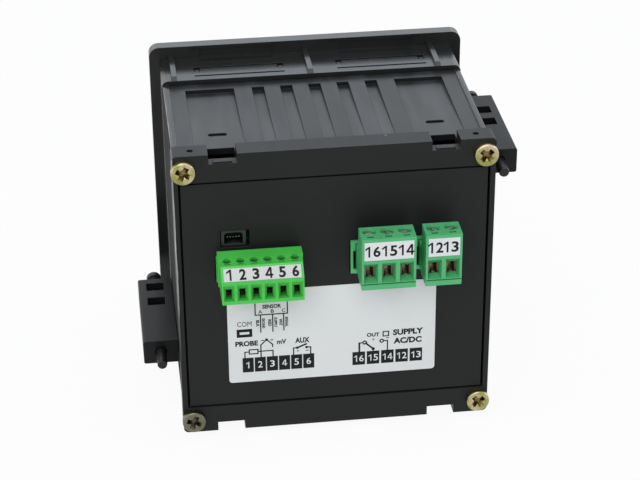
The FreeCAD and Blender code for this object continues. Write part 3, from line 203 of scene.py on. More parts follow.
class Finish:
    """One material and the nodes that feed its shader."""

    def __init__(self, name, **constants):
        self.material = bpy.data.materials.new(name)
        self.material.use_nodes = True
        self.tree = self.material.node_tree
        self.shader = self.tree.nodes["Principled BSDF"]
        for socket, value in constants.items():
            self.shader.inputs[socket.replace("_", " ")].default_value = value

    def node(self, kind, settings=None, sockets=None, output=0):
        """Add one node: its settings first, then the values or links of its sockets."""
        made = self.tree.nodes.new(kind)
        for name, value in (settings or {}).items():
            setattr(made, name, value)
        for key, value in (sockets or {}).items():
            if isinstance(value, Signal):
                self.tree.links.new(value.socket, made.inputs[key])
            else:
                made.inputs[key].default_value = value
        return Signal(self, made.outputs[output])

    def feed(self, **signals):
        """Link signals to the shader's sockets and give the finished material."""
        for socket, signal in signals.items():
            self.tree.links.new(signal.socket, self.shader.inputs[socket.replace("_", " ")])
        return self.material

    def place(self):
        return self.node("ShaderNodeTexCoord", output="Object")

    def normal(self):
        return self.node("ShaderNodeNewGeometry", output="Normal")

    def part(self, vector, axis):
        """One component of a vector."""
        return self.node("ShaderNodeSeparateXYZ", None, {"Vector": vector}, output=axis)

    def along(self, axis):
        """Object coordinate along one axis."""
        return self.part(self.place(), axis)

    def stretched(self, scale):
        """Object coordinates scaled differently along each axis."""
        return self.node("ShaderNodeMapping", None, {"Vector": self.place(), "Scale": scale})

    def noise(self, scale, detail=2.0, vector=None):
        return self.node("ShaderNodeTexNoise", None,
                         {"Vector": vector or self.place(), "Scale": scale, "Detail": detail})

    def specks(self, scale, amount):
        """Small scattered dots, 1 on a dot and 0 between them."""
        return self.node("ShaderNodeTexVoronoi", None, {"Vector": self.place(), "Scale": scale}) < amount

    def step(self, signal, low, high):
        """0 below low and 1 above high, smooth between."""
        return self.node("ShaderNodeMapRange", {"interpolation_type": "SMOOTHSTEP"},
                         {"Value": signal, "From Min": low, "From Max": high})

    def mix(self, factor, first, second):
        """Blend of two colours."""
        return self.node("ShaderNodeMix", {"data_type": "RGBA"}, {0: factor, 6: first, 7: second}, output=2)

    def rounded(self, radius):
        """Normal with the edges rounded."""
        return self.node("ShaderNodeBevel", {"samples": 4}, {"Radius": radius})

    def convex(self, radius):
        """Normal with the outer edges rounded and the inner corners left sharp."""
        inner = self.hollow(0.8 * MM, 0.6, 0.95)
        return self.node("ShaderNodeMix", {"data_type": "VECTOR"},
                         {0: inner, 4: self.rounded(radius), 5: self.normal()}, output=1)

    def edge(self, rounded):
        """0 on flat faces, rising towards 1 on rounded edges."""
        facing = self.node("ShaderNodeVectorMath", {"operation": "DOT_PRODUCT"},
                           {0: rounded, 1: self.normal()}, output="Value")
        return 1.0 - facing

    def facing(self, axis):
        """1 on faces that look along an axis, 0 on those that look across it or back."""
        return self.step(self.part(self.normal(), axis), 0.35, 0.8)

    def hollow(self, reach, low, high, alone=False):
        """1 deep in a hollow, 0 where the sky within a reach is open. Alone counts only the piece itself."""
        sky = self.node("ShaderNodeAmbientOcclusion", {"samples": 8, "only_local": alone},
                        {"Distance": reach}, output="AO")
        return 1.0 - self.step(sky, low, high)

    def backdrop(self):
        """1 for what the camera, gloss and glass see, 0 for the light that falls on things."""
        seen, mirrored, through = [self.node("ShaderNodeLightPath", output="Is %s Ray" % kind)
                                   for kind in ("Camera", "Glossy", "Transmission")]
        return seen.math("MAXIMUM", seen.math("MAXIMUM", seen, mirrored), through)

    def bump(self, signal, depth, normal=None):
        """Relief of a depth in metres."""
        sockets = {"Height": signal, "Distance": depth, "Strength": 1.0}
        if normal:
            sockets["Normal"] = normal
        return self.node("ShaderNodeBump", None, sockets)


class Sky(Finish):
    """The world and the nodes that feed it."""

    def __init__(self, name):
        world = bpy.data.worlds.new(name)
        world.use_nodes = True
        self.tree = world.node_tree
        bpy.context.scene.world = world


def shade(colour, factor):
    """The colour made darker or lighter, as red, green, blue and alpha."""
    return tuple(min(1.0, part * factor) for part in colour) + (1.0,)


def moulded(name, colour, roughness, grain_scale, grain_depth, edge_radius=0.25 * MM, specular=0.30, dust=1.0,
            band=None, scuff_and_highlight_edge=None, shadow=None, polished=False):
    """Black or grey moulding: spark-eroded grain, cloudy gloss, dust on what faces up, and rubbed edges
    lightened by a painted highlight.

    Where a distance from the middle plane is given as band, its top takes bluish streaks of painted reflection
    and, beyond the band, its top is polished, its sides are dull and its edges take a pale painted highlight.
    Where half its width is given as scuffed, a pale ragged line, partly a scuff and partly a painted
    highlight, runs along its upper left edge as seen from behind and fades downwards. In hollows narrower than
    shadow it is black with painted shade. A polished one keeps its inner corners sharp.
    """
    finish = Finish(name, Specular_IOR_Level=specular)
    cloud = finish.noise(38.0, 4.0)
    grain = finish.noise(grain_scale, 2.0)
    streak = finish.noise(1.0, 3.0, finish.stretched((420.0, 34.0, 420.0)))
    round_normal = finish.convex(edge_radius) if polished else finish.rounded(edge_radius)
    edge_wear_and_highlight = finish.step(finish.edge(round_normal) * (0.5 + finish.noise(900.0)), 0.02, 0.22)
    up = finish.facing("Z")
    lint = finish.specks(520.0, 0.085) * up * finish.step(finish.noise(70.0), 0.50, 0.62)
    crumbs = finish.specks(60.0, 0.014) * finish.step(finish.noise(9.0), 0.50, 0.56)
    tone = finish.mix(cloud, shade(colour, 0.78), shade(colour, 1.25))
    # edges lightened: partly rubbed wear, partly a painted highlight
    tone = finish.mix(edge_wear_and_highlight * 0.25, tone, shade(colour, 3.2))
    tone = finish.mix(lint * (0.35 * dust), tone, LINT)
    tone = finish.mix(crumbs * 0.7, tone, CRUMB)
    tone = finish.mix(up * cloud * (0.035 * dust), tone, DUST)
    gloss = roughness * (1.0 + (cloud - 0.5) * 0.4 + (streak - 0.5) * 0.18 - edge_wear_and_highlight * 0.15) + lint * 0.2
    if band:
        beyond = finish.step(abs(finish.along("X")), band - 0.1 * MM, band)
        gloss = gloss - beyond * up * 0.14 + beyond * (1.0 - up) * 0.60
        # bluish streaks on the top are a painted reflection
        reflection_streaks = finish.step(finish.noise(1.0, 2.0, finish.stretched((150.0, 22.0, 150.0))), 0.42, 0.66)
        tone = finish.mix(reflection_streaks * up * 0.07, tone, REFLECTION_STREAK)
        # pale edges beyond the band are a painted highlight
        tone = finish.mix(edge_wear_and_highlight * beyond * 0.55, tone, BAND_EDGE_HIGHLIGHT)
    if scuff_and_highlight_edge:
        # pale ragged line along the upper left edge: partly a scuff, partly a painted highlight, fading
        # downwards
        ragged = finish.noise(1.0, 3.0, finish.stretched((300.0, 110.0, 110.0))) * (0.6 * MM)
        line = finish.step(finish.along("X") + ragged, scuff_and_highlight_edge - 0.1 * MM, scuff_and_highlight_edge + 0.05 * MM)
        fade = finish.step(finish.along("Z"), -25 * MM, 20 * MM)
        line = line * (up + finish.facing("Y")) * fade
        tone = finish.mix(line * (0.15 + finish.noise(140.0, 3.0)), tone, SCUFF_AND_HIGHLIGHT)
    if shadow:
        # painted shade: narrow hollows turn black
        tone = finish.mix(finish.hollow(shadow, 0.50, 0.95), tone, shade(colour, 0.05))
    sink = finish.noise(1.0, 1.0, finish.stretched((120.0, 26.0, 120.0)))
    warped = finish.bump(sink, 0.18 * MM, round_normal)
    return finish.feed(Base_Color=tone, Roughness=gloss, Normal=finish.bump(grain, grain_depth, warped))


def terminal_plastic(name, colour, roughness):
    """Bright green moulding of the terminals: smooth, cloudy, paler on its edges with a painted highlight,
    dark in its slots with painted shade.
    """
    finish = Finish(name, Specular_IOR_Level=0.45)
    cloud = finish.noise(160.0, 3.0)
    fine = finish.noise(3800.0, 2.0)
    round_normal = finish.rounded(0.12 * MM)
    edge_wear_and_highlight = finish.step(finish.edge(round_normal), 0.01, 0.25)
    grime = finish.step(finish.noise(420.0, 4.0), 0.60, 0.78)
    pale = (colour[0] * 2.2, min(1, colour[1] * 1.25), colour[2] * 2.0, 1.0)
    tone = finish.mix(cloud, shade(colour, 0.90), shade(colour, 1.10))
    # painted highlight: edges paler
    tone = finish.mix(edge_wear_and_highlight * 0.30, tone, pale)
    tone = finish.mix(grime * 0.12, tone, shade(colour, 0.45))
    # painted shade: slots, wells and holes darken towards black
    tone = finish.mix(finish.hollow(2.2 * MM, 0.18, 0.66) * 0.88, tone, shade(colour, 0.12))
    return finish.feed(Base_Color=tone, Roughness=roughness + (cloud - 0.5) * 0.14 + (fine - 0.5) * 0.08,
                       Normal=finish.bump(fine, 0.006 * MM, round_normal))


def printed_film(name, colour):
    """Adhesive film: faint mottling, a little gloss and a few dark specks."""
    finish = Finish(name, Specular_IOR_Level=0.35)
    mottle = finish.noise(900.0, 3.0)
    cloud = finish.noise(55.0, 3.0)
    tone = finish.mix(cloud, shade(colour, 0.965), shade(colour, 1.02))
    tone = finish.mix(finish.specks(260.0, 0.05) * 0.25, tone, shade(colour, 0.6))
    return finish.feed(Base_Color=tone, Roughness=0.46 + (cloud - 0.5) * 0.2,
                       Normal=finish.bump(mottle, 0.004 * MM))


def ink(name, colour):
    """Printing ink, a little uneven."""
    finish = Finish(name, Specular_IOR_Level=0.15)
    blot = finish.noise(1500.0, 3.0)
    return finish.feed(Base_Color=finish.mix(blot, shade(colour, 0.8), shade(colour, 1.25)),
                       Roughness=0.5 + (blot - 0.5) * 0.2)


def plated_metal(name, colour, roughness, second, tarnish, cavity_shade=None):
    """Plated metal: two tones of passivation, fine turning marks, dark tarnish in patches, and edges lightened
    partly by wear and partly by a painted highlight.

    Where a colour is given as cavity, the hollows of the piece take it as painted shade.
    """
    finish = Finish(name, Metallic=1.0)
    cloud = finish.noise(330.0, 3.0)
    fine = finish.noise(6500.0, 2.0)
    stain = finish.step(finish.noise(620.0, 4.0), 0.52, 0.72)
    round_normal = finish.rounded(0.08 * MM)
    edge_wear_and_highlight = finish.step(finish.edge(round_normal), 0.02, 0.3)
    tone = finish.mix(finish.step(cloud, 0.42, 0.70), shade(colour, 1.0), shade(second, 1.0))
    tone = finish.mix(stain * tarnish, tone, shade(colour, 0.28))
    if cavity_shade:
        # painted shade in the hollows
        tone = finish.mix(finish.hollow(1.6 * MM, 0.70, 0.99, alone=True) * 0.9, tone, shade(cavity_shade, 1.0))
    # lighter edges: partly wear, partly a painted highlight
    tone = finish.mix(edge_wear_and_highlight * 0.5, tone, shade(colour, 1.35))
    return finish.feed(Base_Color=tone, Roughness=roughness + (cloud - 0.5) * 0.22 + stain * 0.12,
                       Normal=finish.bump(fine, 0.005 * MM, round_normal))


def black_steel(name, colour):
    """Blackened steel of the clamp screws, grey on its crests partly from wear and partly as a painted
    highlight.
    """
    finish = Finish(name, Metallic=0.6)
    cloud = finish.noise(420.0, 3.0)
    round_normal = finish.rounded(0.08 * MM)
    edge_wear_and_highlight = finish.step(finish.edge(round_normal) * (0.6 + cloud), 0.02, 0.3)
    tone = finish.mix(cloud, shade(colour, 0.7), shade(colour, 1.3))
    # grey crests: partly wear, partly a painted highlight
    return finish.feed(Base_Color=finish.mix(edge_wear_and_highlight * 0.5, tone, CREST_WEAR_AND_HIGHLIGHT),
                       Roughness=0.42 + (cloud - 0.5) * 0.2, Normal=round_normal)


def lacquered_board(name, colour):
    """Circuit board: lacquer over a faint net of tracks."""
    finish = Finish(name, Specular_IOR_Level=0.5)
    net = {"Vector": finish.place(), "Scale": 190.0, "Mortar Size": 0.06, "Mortar Smooth": 0.3}
    tracks = finish.node("ShaderNodeTexBrick", {"offset": 0.37, "squash": 1.6, "squash_frequency": 3}, net,
                         output="Fac")
    cloud = finish.noise(120.0, 3.0)
    tone = finish.mix(cloud, shade(colour, 0.85), shade(colour, 1.15))
    return finish.feed(Base_Color=finish.mix(tracks * 0.6, tone, shade(colour, 2.0)),
                       Roughness=0.32 + (cloud - 0.5) * 0.15, Normal=finish.bump(tracks, 0.03 * MM))


def window_plastic(name, colour):
    """Polished tinted window with a few hairlines and specks of dust."""
    finish = Finish(name, Specular_IOR_Level=0.35, Alpha=0.66)
    hair = finish.step(finish.noise(1.0, 2.0, finish.stretched((900.0, 900.0, 26.0))), 0.62, 0.75)
    cloud = finish.noise(40.0, 2.0)
    lint = finish.specks(300.0, 0.05)
    tone = finish.mix(cloud, shade(colour, 0.8), shade(colour, 1.2))
    return finish.feed(Base_Color=finish.mix(lint * 0.25, tone, WINDOW_DUST),
                       Roughness=0.07 + hair * 0.10 + lint * 0.2 + cloud * 0.04,
                       Normal=finish.rounded(0.3 * MM))


def wound_tape(name, colour):
    """Yellow tape over the transformer's winding."""
    finish = Finish(name, Specular_IOR_Level=0.4)
    turns = {"Vector": finish.place(), "Scale": 45.0, "Distortion": 1.5, "Detail": 2.0}
    wraps = finish.node("ShaderNodeTexWave", {"bands_direction": "Y"}, turns, output="Fac")
    cloud = finish.noise(150.0, 3.0)
    return finish.feed(Base_Color=finish.mix(cloud, shade(colour, 0.75), shade(colour, 1.1)),
                       Roughness=0.38 + wraps * 0.1, Normal=finish.bump(wraps, 0.04 * MM))


def unlit_segment(name, first, second):
    """Cast resin of a display segment that is off."""
    finish = Finish(name, Roughness=0.35)
    cloud = finish.noise(300.0, 2.0)
    return finish.feed(Base_Color=finish.mix(cloud, shade(first, 1.0), shade(second, 1.0)))


def paint(material, *nodes):
    """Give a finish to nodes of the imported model."""
    for name in nodes:
        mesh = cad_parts[name].data
        mesh.materials.clear()
        mesh.materials.append(material)


def chosen(group):
    """One of the scene's groups of settings."""
    return getattr(bpy.context.scene, "controller_" + group)


def clear():
    """Leave edit mode and deselect everything."""
    if bpy.context.object and bpy.context.object.mode != "OBJECT":
        bpy.ops.object.mode_set(mode="OBJECT")
    bpy.ops.object.select_all(action="DESELECT")


def choose(obj):
    """Make one piece the selected and active one."""
    clear()
    obj.select_set(True)
    bpy.context.view_layer.objects.active = obj


def about_z(degrees):
    """Turn about Z."""
    return (0, 0, math.radians(degrees))


def settle(obj, location=(0, 0, 0), rotation=(0, 0, 0)):
    """Put a piece in place and carry the place into its mesh."""
    choose(obj)
    obj.location = location
    obj.rotation_euler = rotation
    bpy.ops.object.transform_apply(location=True, rotation=True, scale=True)
    return obj


def join(parts, name):
    """Make one piece of several."""
    choose(parts[0])
    for part in parts[1:]:
        part.select_set(True)
    if len(parts) > 1:
        bpy.ops.object.join()
    made = bpy.context.object
    made.name = name
    made.data.name = name
    return made


def copy_of(obj):
    """A copy with its own mesh."""
    twin = obj.copy()
    twin.data = obj.data.copy()
    bpy.context.scene.collection.objects.link(twin)
    return twin


def fit(obj, body, slot, material, *replaced):
    """Ride on a body with a finish, in place of the named nodes."""
    obj.data.materials.clear()
    obj.data.materials.append(material)
    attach(obj, body)
    if replaced:
        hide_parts(*replaced)


def pick(obj, kind, test):
    """Go into edit mode with those faces or edges selected whose corners pass a test."""
    choose(obj)
    bpy.ops.object.mode_set(mode="EDIT")
    bpy.ops.mesh.select_mode(type=kind)
    bpy.ops.mesh.select_all(action="DESELECT")
    bpy.ops.object.mode_set(mode="OBJECT")
    points = obj.data.vertices
    for item in obj.data.polygons if kind == "FACE" else obj.data.edges:
        item.select = test([points[i].co for i in item.vertices])
    bpy.ops.object.mode_set(mode="EDIT")


def smooth(obj, degrees=35):
    """Shade smooth across edges flatter than an angle."""
    choose(obj)
    bpy.ops.object.shade_smooth_by_angle(angle=math.radians(degrees))


def combine(obj, operation, other):
    """Cut another shape out of a piece, or unite it with the piece, and drop it."""
    choose(obj)
    change = obj.modifiers.new("combine", "BOOLEAN")
    change.operation = operation
    change.solver = "EXACT"
    change.object = other
    bpy.ops.object.modifier_apply(modifier=change.name)
    bpy.data.objects.remove(other)


def slab(width, depth, height):
    """Block about the origin."""
    clear()
    bpy.ops.mesh.primitive_cube_add(size=1)
    obj = bpy.context.object
    obj.scale = (width, depth, height)
    return settle(obj)


def prism(vertices, radius, height, middle=(0, 0, 0)):
    """Round or many-sided block about Z."""
    clear()
    bpy.ops.mesh.primitive_cylinder_add(vertices=vertices, radius=radius, depth=height)
    return settle(bpy.context.object, middle)


def round_head(radius, height, rounding, vertices=48):
    """Screw head about Z, standing on the origin, with its upper edge rounded."""
    obj = prism(vertices, radius, height, (0, 0, height / 2))
    pick(obj, "EDGE", lambda ends: min(end.z for end in ends) > 0.99 * height)
    bpy.ops.mesh.bevel(offset=rounding, segments=6, profile=0.6)
    clear()
    return obj


def add_shank(obj, radius, head_radius, length):
    """Draw a plain shank down out of the underside of a head."""
    pick(obj, "FACE", lambda corners: max(corner.z for corner in corners) < 1e-6)
    bpy.ops.mesh.inset(thickness=head_radius - radius)
    bpy.ops.mesh.extrude_region_move(TRANSFORM_OT_translate={"value": (0, 0, -length)})
    clear()


def cross_recess(width, length, depth, level):
    """Cutter for a cross recess whose arms narrow towards the bottom, with its inner corners cut back."""
    clear()
    bpy.ops.mesh.primitive_cone_add(vertices=4, radius1=0.25 * width, radius2=1.3 * width, depth=depth)
    cutter = settle(bpy.context.object, (0, 0, level - depth / 2 + PROUD))
    for turn in (0, 90):
        arm = slab(length, width, depth)
        pick(arm, "FACE", lambda corners: max(corner.z for corner in corners) < 0)
        bpy.ops.transform.resize(value=(0.5, 0.6, 1))
        clear()
        settle(arm, (0, 0, level - depth / 2 + 2 * PROUD), about_z(turn))
        combine(cutter, "UNION", arm)
    return cutter


def bar(start_point, end_point, width):
    """Thin straight stroke between two points of the print's plane, facing +Z."""
    first, last = Vector(start_point), Vector(end_point)
    run = last - first
    middle = (first + last) / 2
    stroke = slab(run.length + width, width, 2 * INK)
    return settle(stroke, (middle.x, middle.y, 0), (0, 0, math.atan2(run.y, run.x)))


def route(points, width):
    """Thin strokes from point to point."""
    return [bar(first, last, width) for first, last in zip(points, points[1:])]


def ring(place, radius, width):
    """Thin strokes round a circle in the print's plane."""
    turns = [math.tau * i / 8 for i in range(9)]
    return route([(place[0] + radius * math.cos(turn), place[1] + radius * math.sin(turn)) for turn in turns],
                 width)


def patch(left, right, bottom, top):
    """Thin filled rectangle in the print's plane."""
    return settle(slab(right - left, top - bottom, 2 * INK), ((left + right) / 2, (bottom + top) / 2, 0))


def dot(place, radius):
    """Thin filled disc in the print's plane."""
    return prism(20, radius, 2 * INK, (place[0], place[1], 0))


def lettering(word, height, weight, width=None):
    """Letters of a cap height as a thin flat solid about the origin, facing +Z, drawn out to a width."""
    clear()
    bpy.ops.object.text_add()
    obj = bpy.context.object
    obj.data.body = word
    obj.data.size = height / CAP_SHARE
    obj.data.offset = weight * height
    obj.data.extrude = INK
    obj.data.resolution_u = 3
    bpy.ops.object.convert(target="MESH")
    bpy.ops.object.origin_set(type="ORIGIN_GEOMETRY", center="BOUNDS")
    obj = settle(bpy.context.object)
    if width:
        obj.scale = (width / obj.dimensions.x, height / obj.dimensions.y, 1)
        settle(obj)
    return obj


def figure(sign, height, weight):
    """One figure as a thin flat solid about the origin, facing +Z. Its strokes are a share of its height."""
    stroke = weight * height
    half = height / 2
    if sign == "1":
        flag = bar((-0.20 * height, 0.24 * height), (0.04 * height, 0.42 * height), stroke * 0.9)
        return join([patch(0, stroke, -half, half), flag], "figure")
    if sign == "4":
        slope = bar((-0.27 * height, -0.17 * height), (0.08 * height, 0.42 * height), stroke)
        level = patch(-0.32 * height, 0.34 * height, -0.28 * height, -0.28 * height + stroke)
        return join([patch(0.06 * height, 0.06 * height + stroke, -half, half), slope, level], "figure")
    return lettering(sign, height, weight - LETTER_STROKE, FIGURE_WIDTH * height)


def figures(word, height, weight):
    """A number as a thin flat solid about the origin, facing +Z."""
    first = -(len(word) - 1) / 2
    made = [settle(figure(sign, height, weight), ((first + i) * FIGURE_STEP * height, 0, 0))
            for i, sign in enumerate(word)]
    return join(made, "figures")


class CONTROLLER_OT_case_finish(bpy.types.Operator):
    """Finish the case, the rear panel and the clamp brackets"""
    bl_idname = "controller.case_finish"
    bl_label = "Case finish"

    CLIP_SHADE = 0.8
    SOCKET_COLOUR = (0.036, 0.042, 0.039)

    def execute(self, context):
        choice = chosen("finishes")
        black = choice.case_colour
        paint(moulded("case_moulding", black, choice.case_roughness, 2600.0, 0.010 * MM, specular=0.23,
                      band=OUTER_BAND, scuff_and_highlight_edge=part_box("case_sleeve")[1].x), "case_sleeve")
        paint(moulded("bezel_moulding", black, choice.bezel_roughness, 3200.0, 0.003 * MM, 0.15 * MM,
                      specular=0.37, dust=0.5, polished=True), "front_bezel")
        paint(moulded("cover_moulding", black, 0.46, 2600.0, 0.012 * MM, 0.15 * MM,
                      specular=0.20, scuff_and_highlight_edge=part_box("rear_cover")[1].x), "rear_cover")
        paint(moulded("panel_moulding", black, choice.panel_roughness, 1900.0, 0.022 * MM,
                      specular=0.20, dust=0.6), "rear_panel")
        paint(moulded("clip_moulding", [self.CLIP_SHADE * part for part in black], 0.45, 3000.0, 0.012 * MM,
                      specular=0.16, dust=0.5), "clip_bracket_left", "clip_bracket_right")
        paint(moulded("socket_moulding", self.SOCKET_COLOUR, 0.35, 4000.0, 0.004 * MM, 0.12 * MM,
                      shadow=3.0 * MM), "service_socket")
        paint(printed_film("label_film", choice.film_colour), "wiring_label")
        return {"FINISHED"}


class CONTROLLER_OT_terminal_finish(bpy.types.Operator):
    """Finish the plugs and their headers"""
    bl_idname = "controller.terminal_finish"
    bl_label = "Terminal finish"

    # painted shade: share by which the slanted strip's film is darkened
    SLOPING_STRIP_SHADE = 0.80

    def execute(self, context):
        choice = chosen("finishes")
        film = choice.film_colour
        fine = terminal_plastic("fine_terminal_plastic", choice.fine_colour, 0.36)
        broad = terminal_plastic("broad_terminal_plastic", choice.broad_colour, 0.40)
        # the cage plating's dark brown is partly painted shade inside the plugs
        cages = plated_metal("shaded_cage_plating", (0.20, 0.135, 0.10), 0.45, (0.27, 0.20, 0.15), 0.5)
        contacts = plated_metal("contact_plating", (0.30, 0.29, 0.27), 0.4, (0.25, 0.23, 0.20), 0.3)
        pins = plated_metal("pin_plating", (0.70, 0.70, 0.70), 0.28, (0.62, 0.62, 0.63), 0.2)
        tongues = plated_metal("tongue_plating", (0.42, 0.35, 0.27), 0.40, (0.34, 0.26, 0.19), 0.3)
        # nearly black plating: painted shade in the six-way plug's deep holes
        dark = plated_metal("shaded_dark_plating", (0.055, 0.042, 0.035), 0.5, (0.08, 0.06, 0.05), 0.5)
        strip = printed_film("strip_film", film)
        # the slanted six-way strip's film is painted darker: painted shade, since its slope faces the overhead
        # light
        sloping = printed_film("shaded_sloping_strip_film", [self.SLOPING_STRIP_SHADE * part for part in film])
        broad_set = (broad, cages, tongues, strip)
        sets = {"6way": (fine, dark, dark, sloping), "3way": broad_set, "2way": broad_set}
        for name, (green, cage, contact, white) in sets.items():
            paint(green, "header_" + name, "plug_%s_housing" % name)
            paint(cage, "plug_%s_cages" % name)
            paint(contact, "plug_%s_contacts" % name)
            paint(pins, "header_pins_" + name)
            paint(white, "plug_%s_strip" % name)
        paint(contacts, "service_contacts")
        return {"FINISHED"}


class CONTROLLER_OT_front_finish(bpy.types.Operator):
    """Finish the fascia, the display window and the keys"""
    bl_idname = "controller.front_finish"
    bl_label = "Front finish"

    def execute(self, context):
        paint(moulded("fascia_moulding", (0.020, 0.020, 0.022), 0.48, 2100.0, 0.016 * MM, dust=0.5),
              "front_panel")
        paint(moulded("key_moulding", (0.13, 0.13, 0.14), 0.50, 2600.0, 0.010 * MM, 0.5 * MM),
              *["key_%d" % i for i in range(1, 5)])
        paint(window_plastic("window_tint", chosen("finishes").window_colour), "display_window")
        return {"FINISHED"}


class CONTROLLER_OT_inner_finish(bpy.types.Operator):
    """Finish the boards and what stands on them"""
    bl_idname = "controller.inner_finish"
    bl_label = "Inner finish"

    def execute(self, context):
        paint(lacquered_board("board_lacquer", (0.02, 0.14, 0.06)),
              "main_board", "logic_board", "display_board")
        paint(moulded("part_moulding", (0.02, 0.02, 0.02), 0.45, 2800.0, 0.006 * MM, 0.15 * MM),
              "key_switches", "main_connector", "logic_connector", "microcontroller", "line_fuse",
              *["key_plunger_%d" % i for i in range(1, 5)])
        paint(moulded("digit_moulding", (0.06, 0.06, 0.06), 0.5, 2800.0, 0.006 * MM, 0.15 * MM),
              "display_module")
        paint(moulded("relay_moulding", (0.02, 0.06, 0.22), 0.35, 2800.0, 0.004 * MM, 0.3 * MM,
                      specular=0.45), "output_relay")
        paint(plated_metal("bright_plating", (0.72, 0.72, 0.72), 0.25, (0.65, 0.65, 0.66), 0.2),
              "display_screws", "board_spacers")
        paint(plated_metal("can_aluminium", (0.60, 0.60, 0.62), 0.35, (0.55, 0.55, 0.58), 0.15),
              "filter_capacitors")
        paint(plated_metal("core_laminations", (0.22, 0.22, 0.23), 0.5, (0.28, 0.26, 0.24), 0.5),
              "transformer_core")
        paint(wound_tape("winding_tape", (0.65, 0.50, 0.12)), "transformer_winding")
        return {"FINISHED"}


class CONTROLLER_OT_cover_screws(bpy.types.Operator):
    """Model the cover screws with their cross recess"""
    bl_idname = "controller.cover_screws"
    bl_label = "Cover screws"

    HEAD_RADIUS = 3.4 * MM
    HEAD_ROUNDING = 0.6 * MM
    SHANK_RADIUS = 1.25 * MM
    RECESS = (1.55 * MM, 4.5 * MM, 1.4 * MM)        # an arm's width, the length across and the depth

    def execute(self, context):
        # the cross recesses take a dark brown as painted shade
        yellow = plated_metal("yellow_zinc", chosen("finishes").zinc_colour, 0.28, (0.55, 0.46, 0.30), 0.25,
                              cavity_shade=(0.14, 0.085, 0.025))
        # darker, less yellow zinc for the lower screw on the left: painted shade where its face mirrors darker
        # surroundings
        painted_shade_zinc = plated_metal("shaded_zinc_plating", (0.15, 0.15, 0.10), 0.34, (0.19, 0.18, 0.14), 0.25,
                            cavity_shade=(0.055, 0.05, 0.03))
        low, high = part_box("cover_screws")
        cover_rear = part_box("rear_cover")[1].y
        radius = self.HEAD_RADIUS
        height = high.y - cover_rear
        head = round_head(radius, height, self.HEAD_ROUNDING)
        add_shank(head, self.SHANK_RADIUS, radius, cover_rear - low.y)
        combine(head, "DIFFERENCE", cross_recess(*self.RECESS, height))
        smooth(head)
        right, left = low.x + radius, high.x - radius
        bottom, top = low.z + radius, high.z - radius
        screws = ((right, bottom, 38, yellow), (right, top, 45, yellow),
                  (left, bottom, 70, painted_shade_zinc), (left, top, 62, yellow))
        for i, (x, z, turn, zinc) in enumerate(screws, 1):
            screw = settle(copy_of(head), rotation=about_z(turn))
            settle(screw, (x, cover_rear, z), TOP_TO_REAR)
            screw.name = "cover_screw_%d" % i
            fit(screw, "housing", "zinc_steel", zinc, "cover_screws")
        bpy.data.objects.remove(head)
        return {"FINISHED"}


class CONTROLLER_OT_terminal_screws(bpy.types.Operator):
    """Model the slotted screws in the terminals' wells"""
    bl_idname = "controller.terminal_screws"
    bl_label = "Terminal screws"

    # poles, pitch, head radius, shank radius and head height in millimetres
    FINE = (6, 3.81, 1.05, 0.75, 1.6)
    THREE = (3, 5.08, 1.75, 1.15, 2.0)
    TWO = (2, 5.08, 1.75, 1.15, 2.0)
    TURNS = (35, 110, 160, 75, 15, 140)     # degrees
    ROUNDING = 0.3 * MM
    SLOT_WIDTH = 0.5 * MM
    SLOT_DEPTH = 0.6 * MM

    def execute(self, context):
        bright = plated_metal("terminal_zinc", (0.72, 0.73, 0.70), 0.36, (0.56, 0.54, 0.48), 0.25)
        # much darker zinc for the six-way plug's screws: painted shade at the bottom of their wells
        painted_shade_steel = plated_metal("shaded_terminal_zinc", (0.13, 0.16, 0.12), 0.40, (0.09, 0.11, 0.08), 0.3)
        plugs = {"6way": (self.FINE, painted_shade_steel), "3way": (self.THREE, bright), "2way": (self.TWO, bright)}
        for name, ((poles, pitch, radius, shank, height), steel) in plugs.items():
            node = "plug_%s_screws" % name
            low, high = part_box(node)
            middle = (low + high) / 2
            radius *= MM
            height *= MM
            head = round_head(radius, height, self.ROUNDING, 32)
            add_shank(head, shank * MM, radius, high.z - low.z - height)
            slot = slab(3 * radius, self.SLOT_WIDTH, 2 * self.SLOT_DEPTH)
            combine(head, "DIFFERENCE", settle(slot, (0, 0, height)))
            smooth(head)
            screws = []
            for i in range(poles):
                screw = settle(copy_of(head), rotation=about_z(self.TURNS[i]))
                x = middle.x + (i - (poles - 1) / 2) * pitch * MM
                screws.append(settle(screw, (x, middle.y, high.z - height)))
            bpy.data.objects.remove(head)
            made = join(screws, "plug_%s_slotted_screws" % name)
            fit(made, "plug_" + name, "terminal_steel", steel, node)
        return {"FINISHED"}


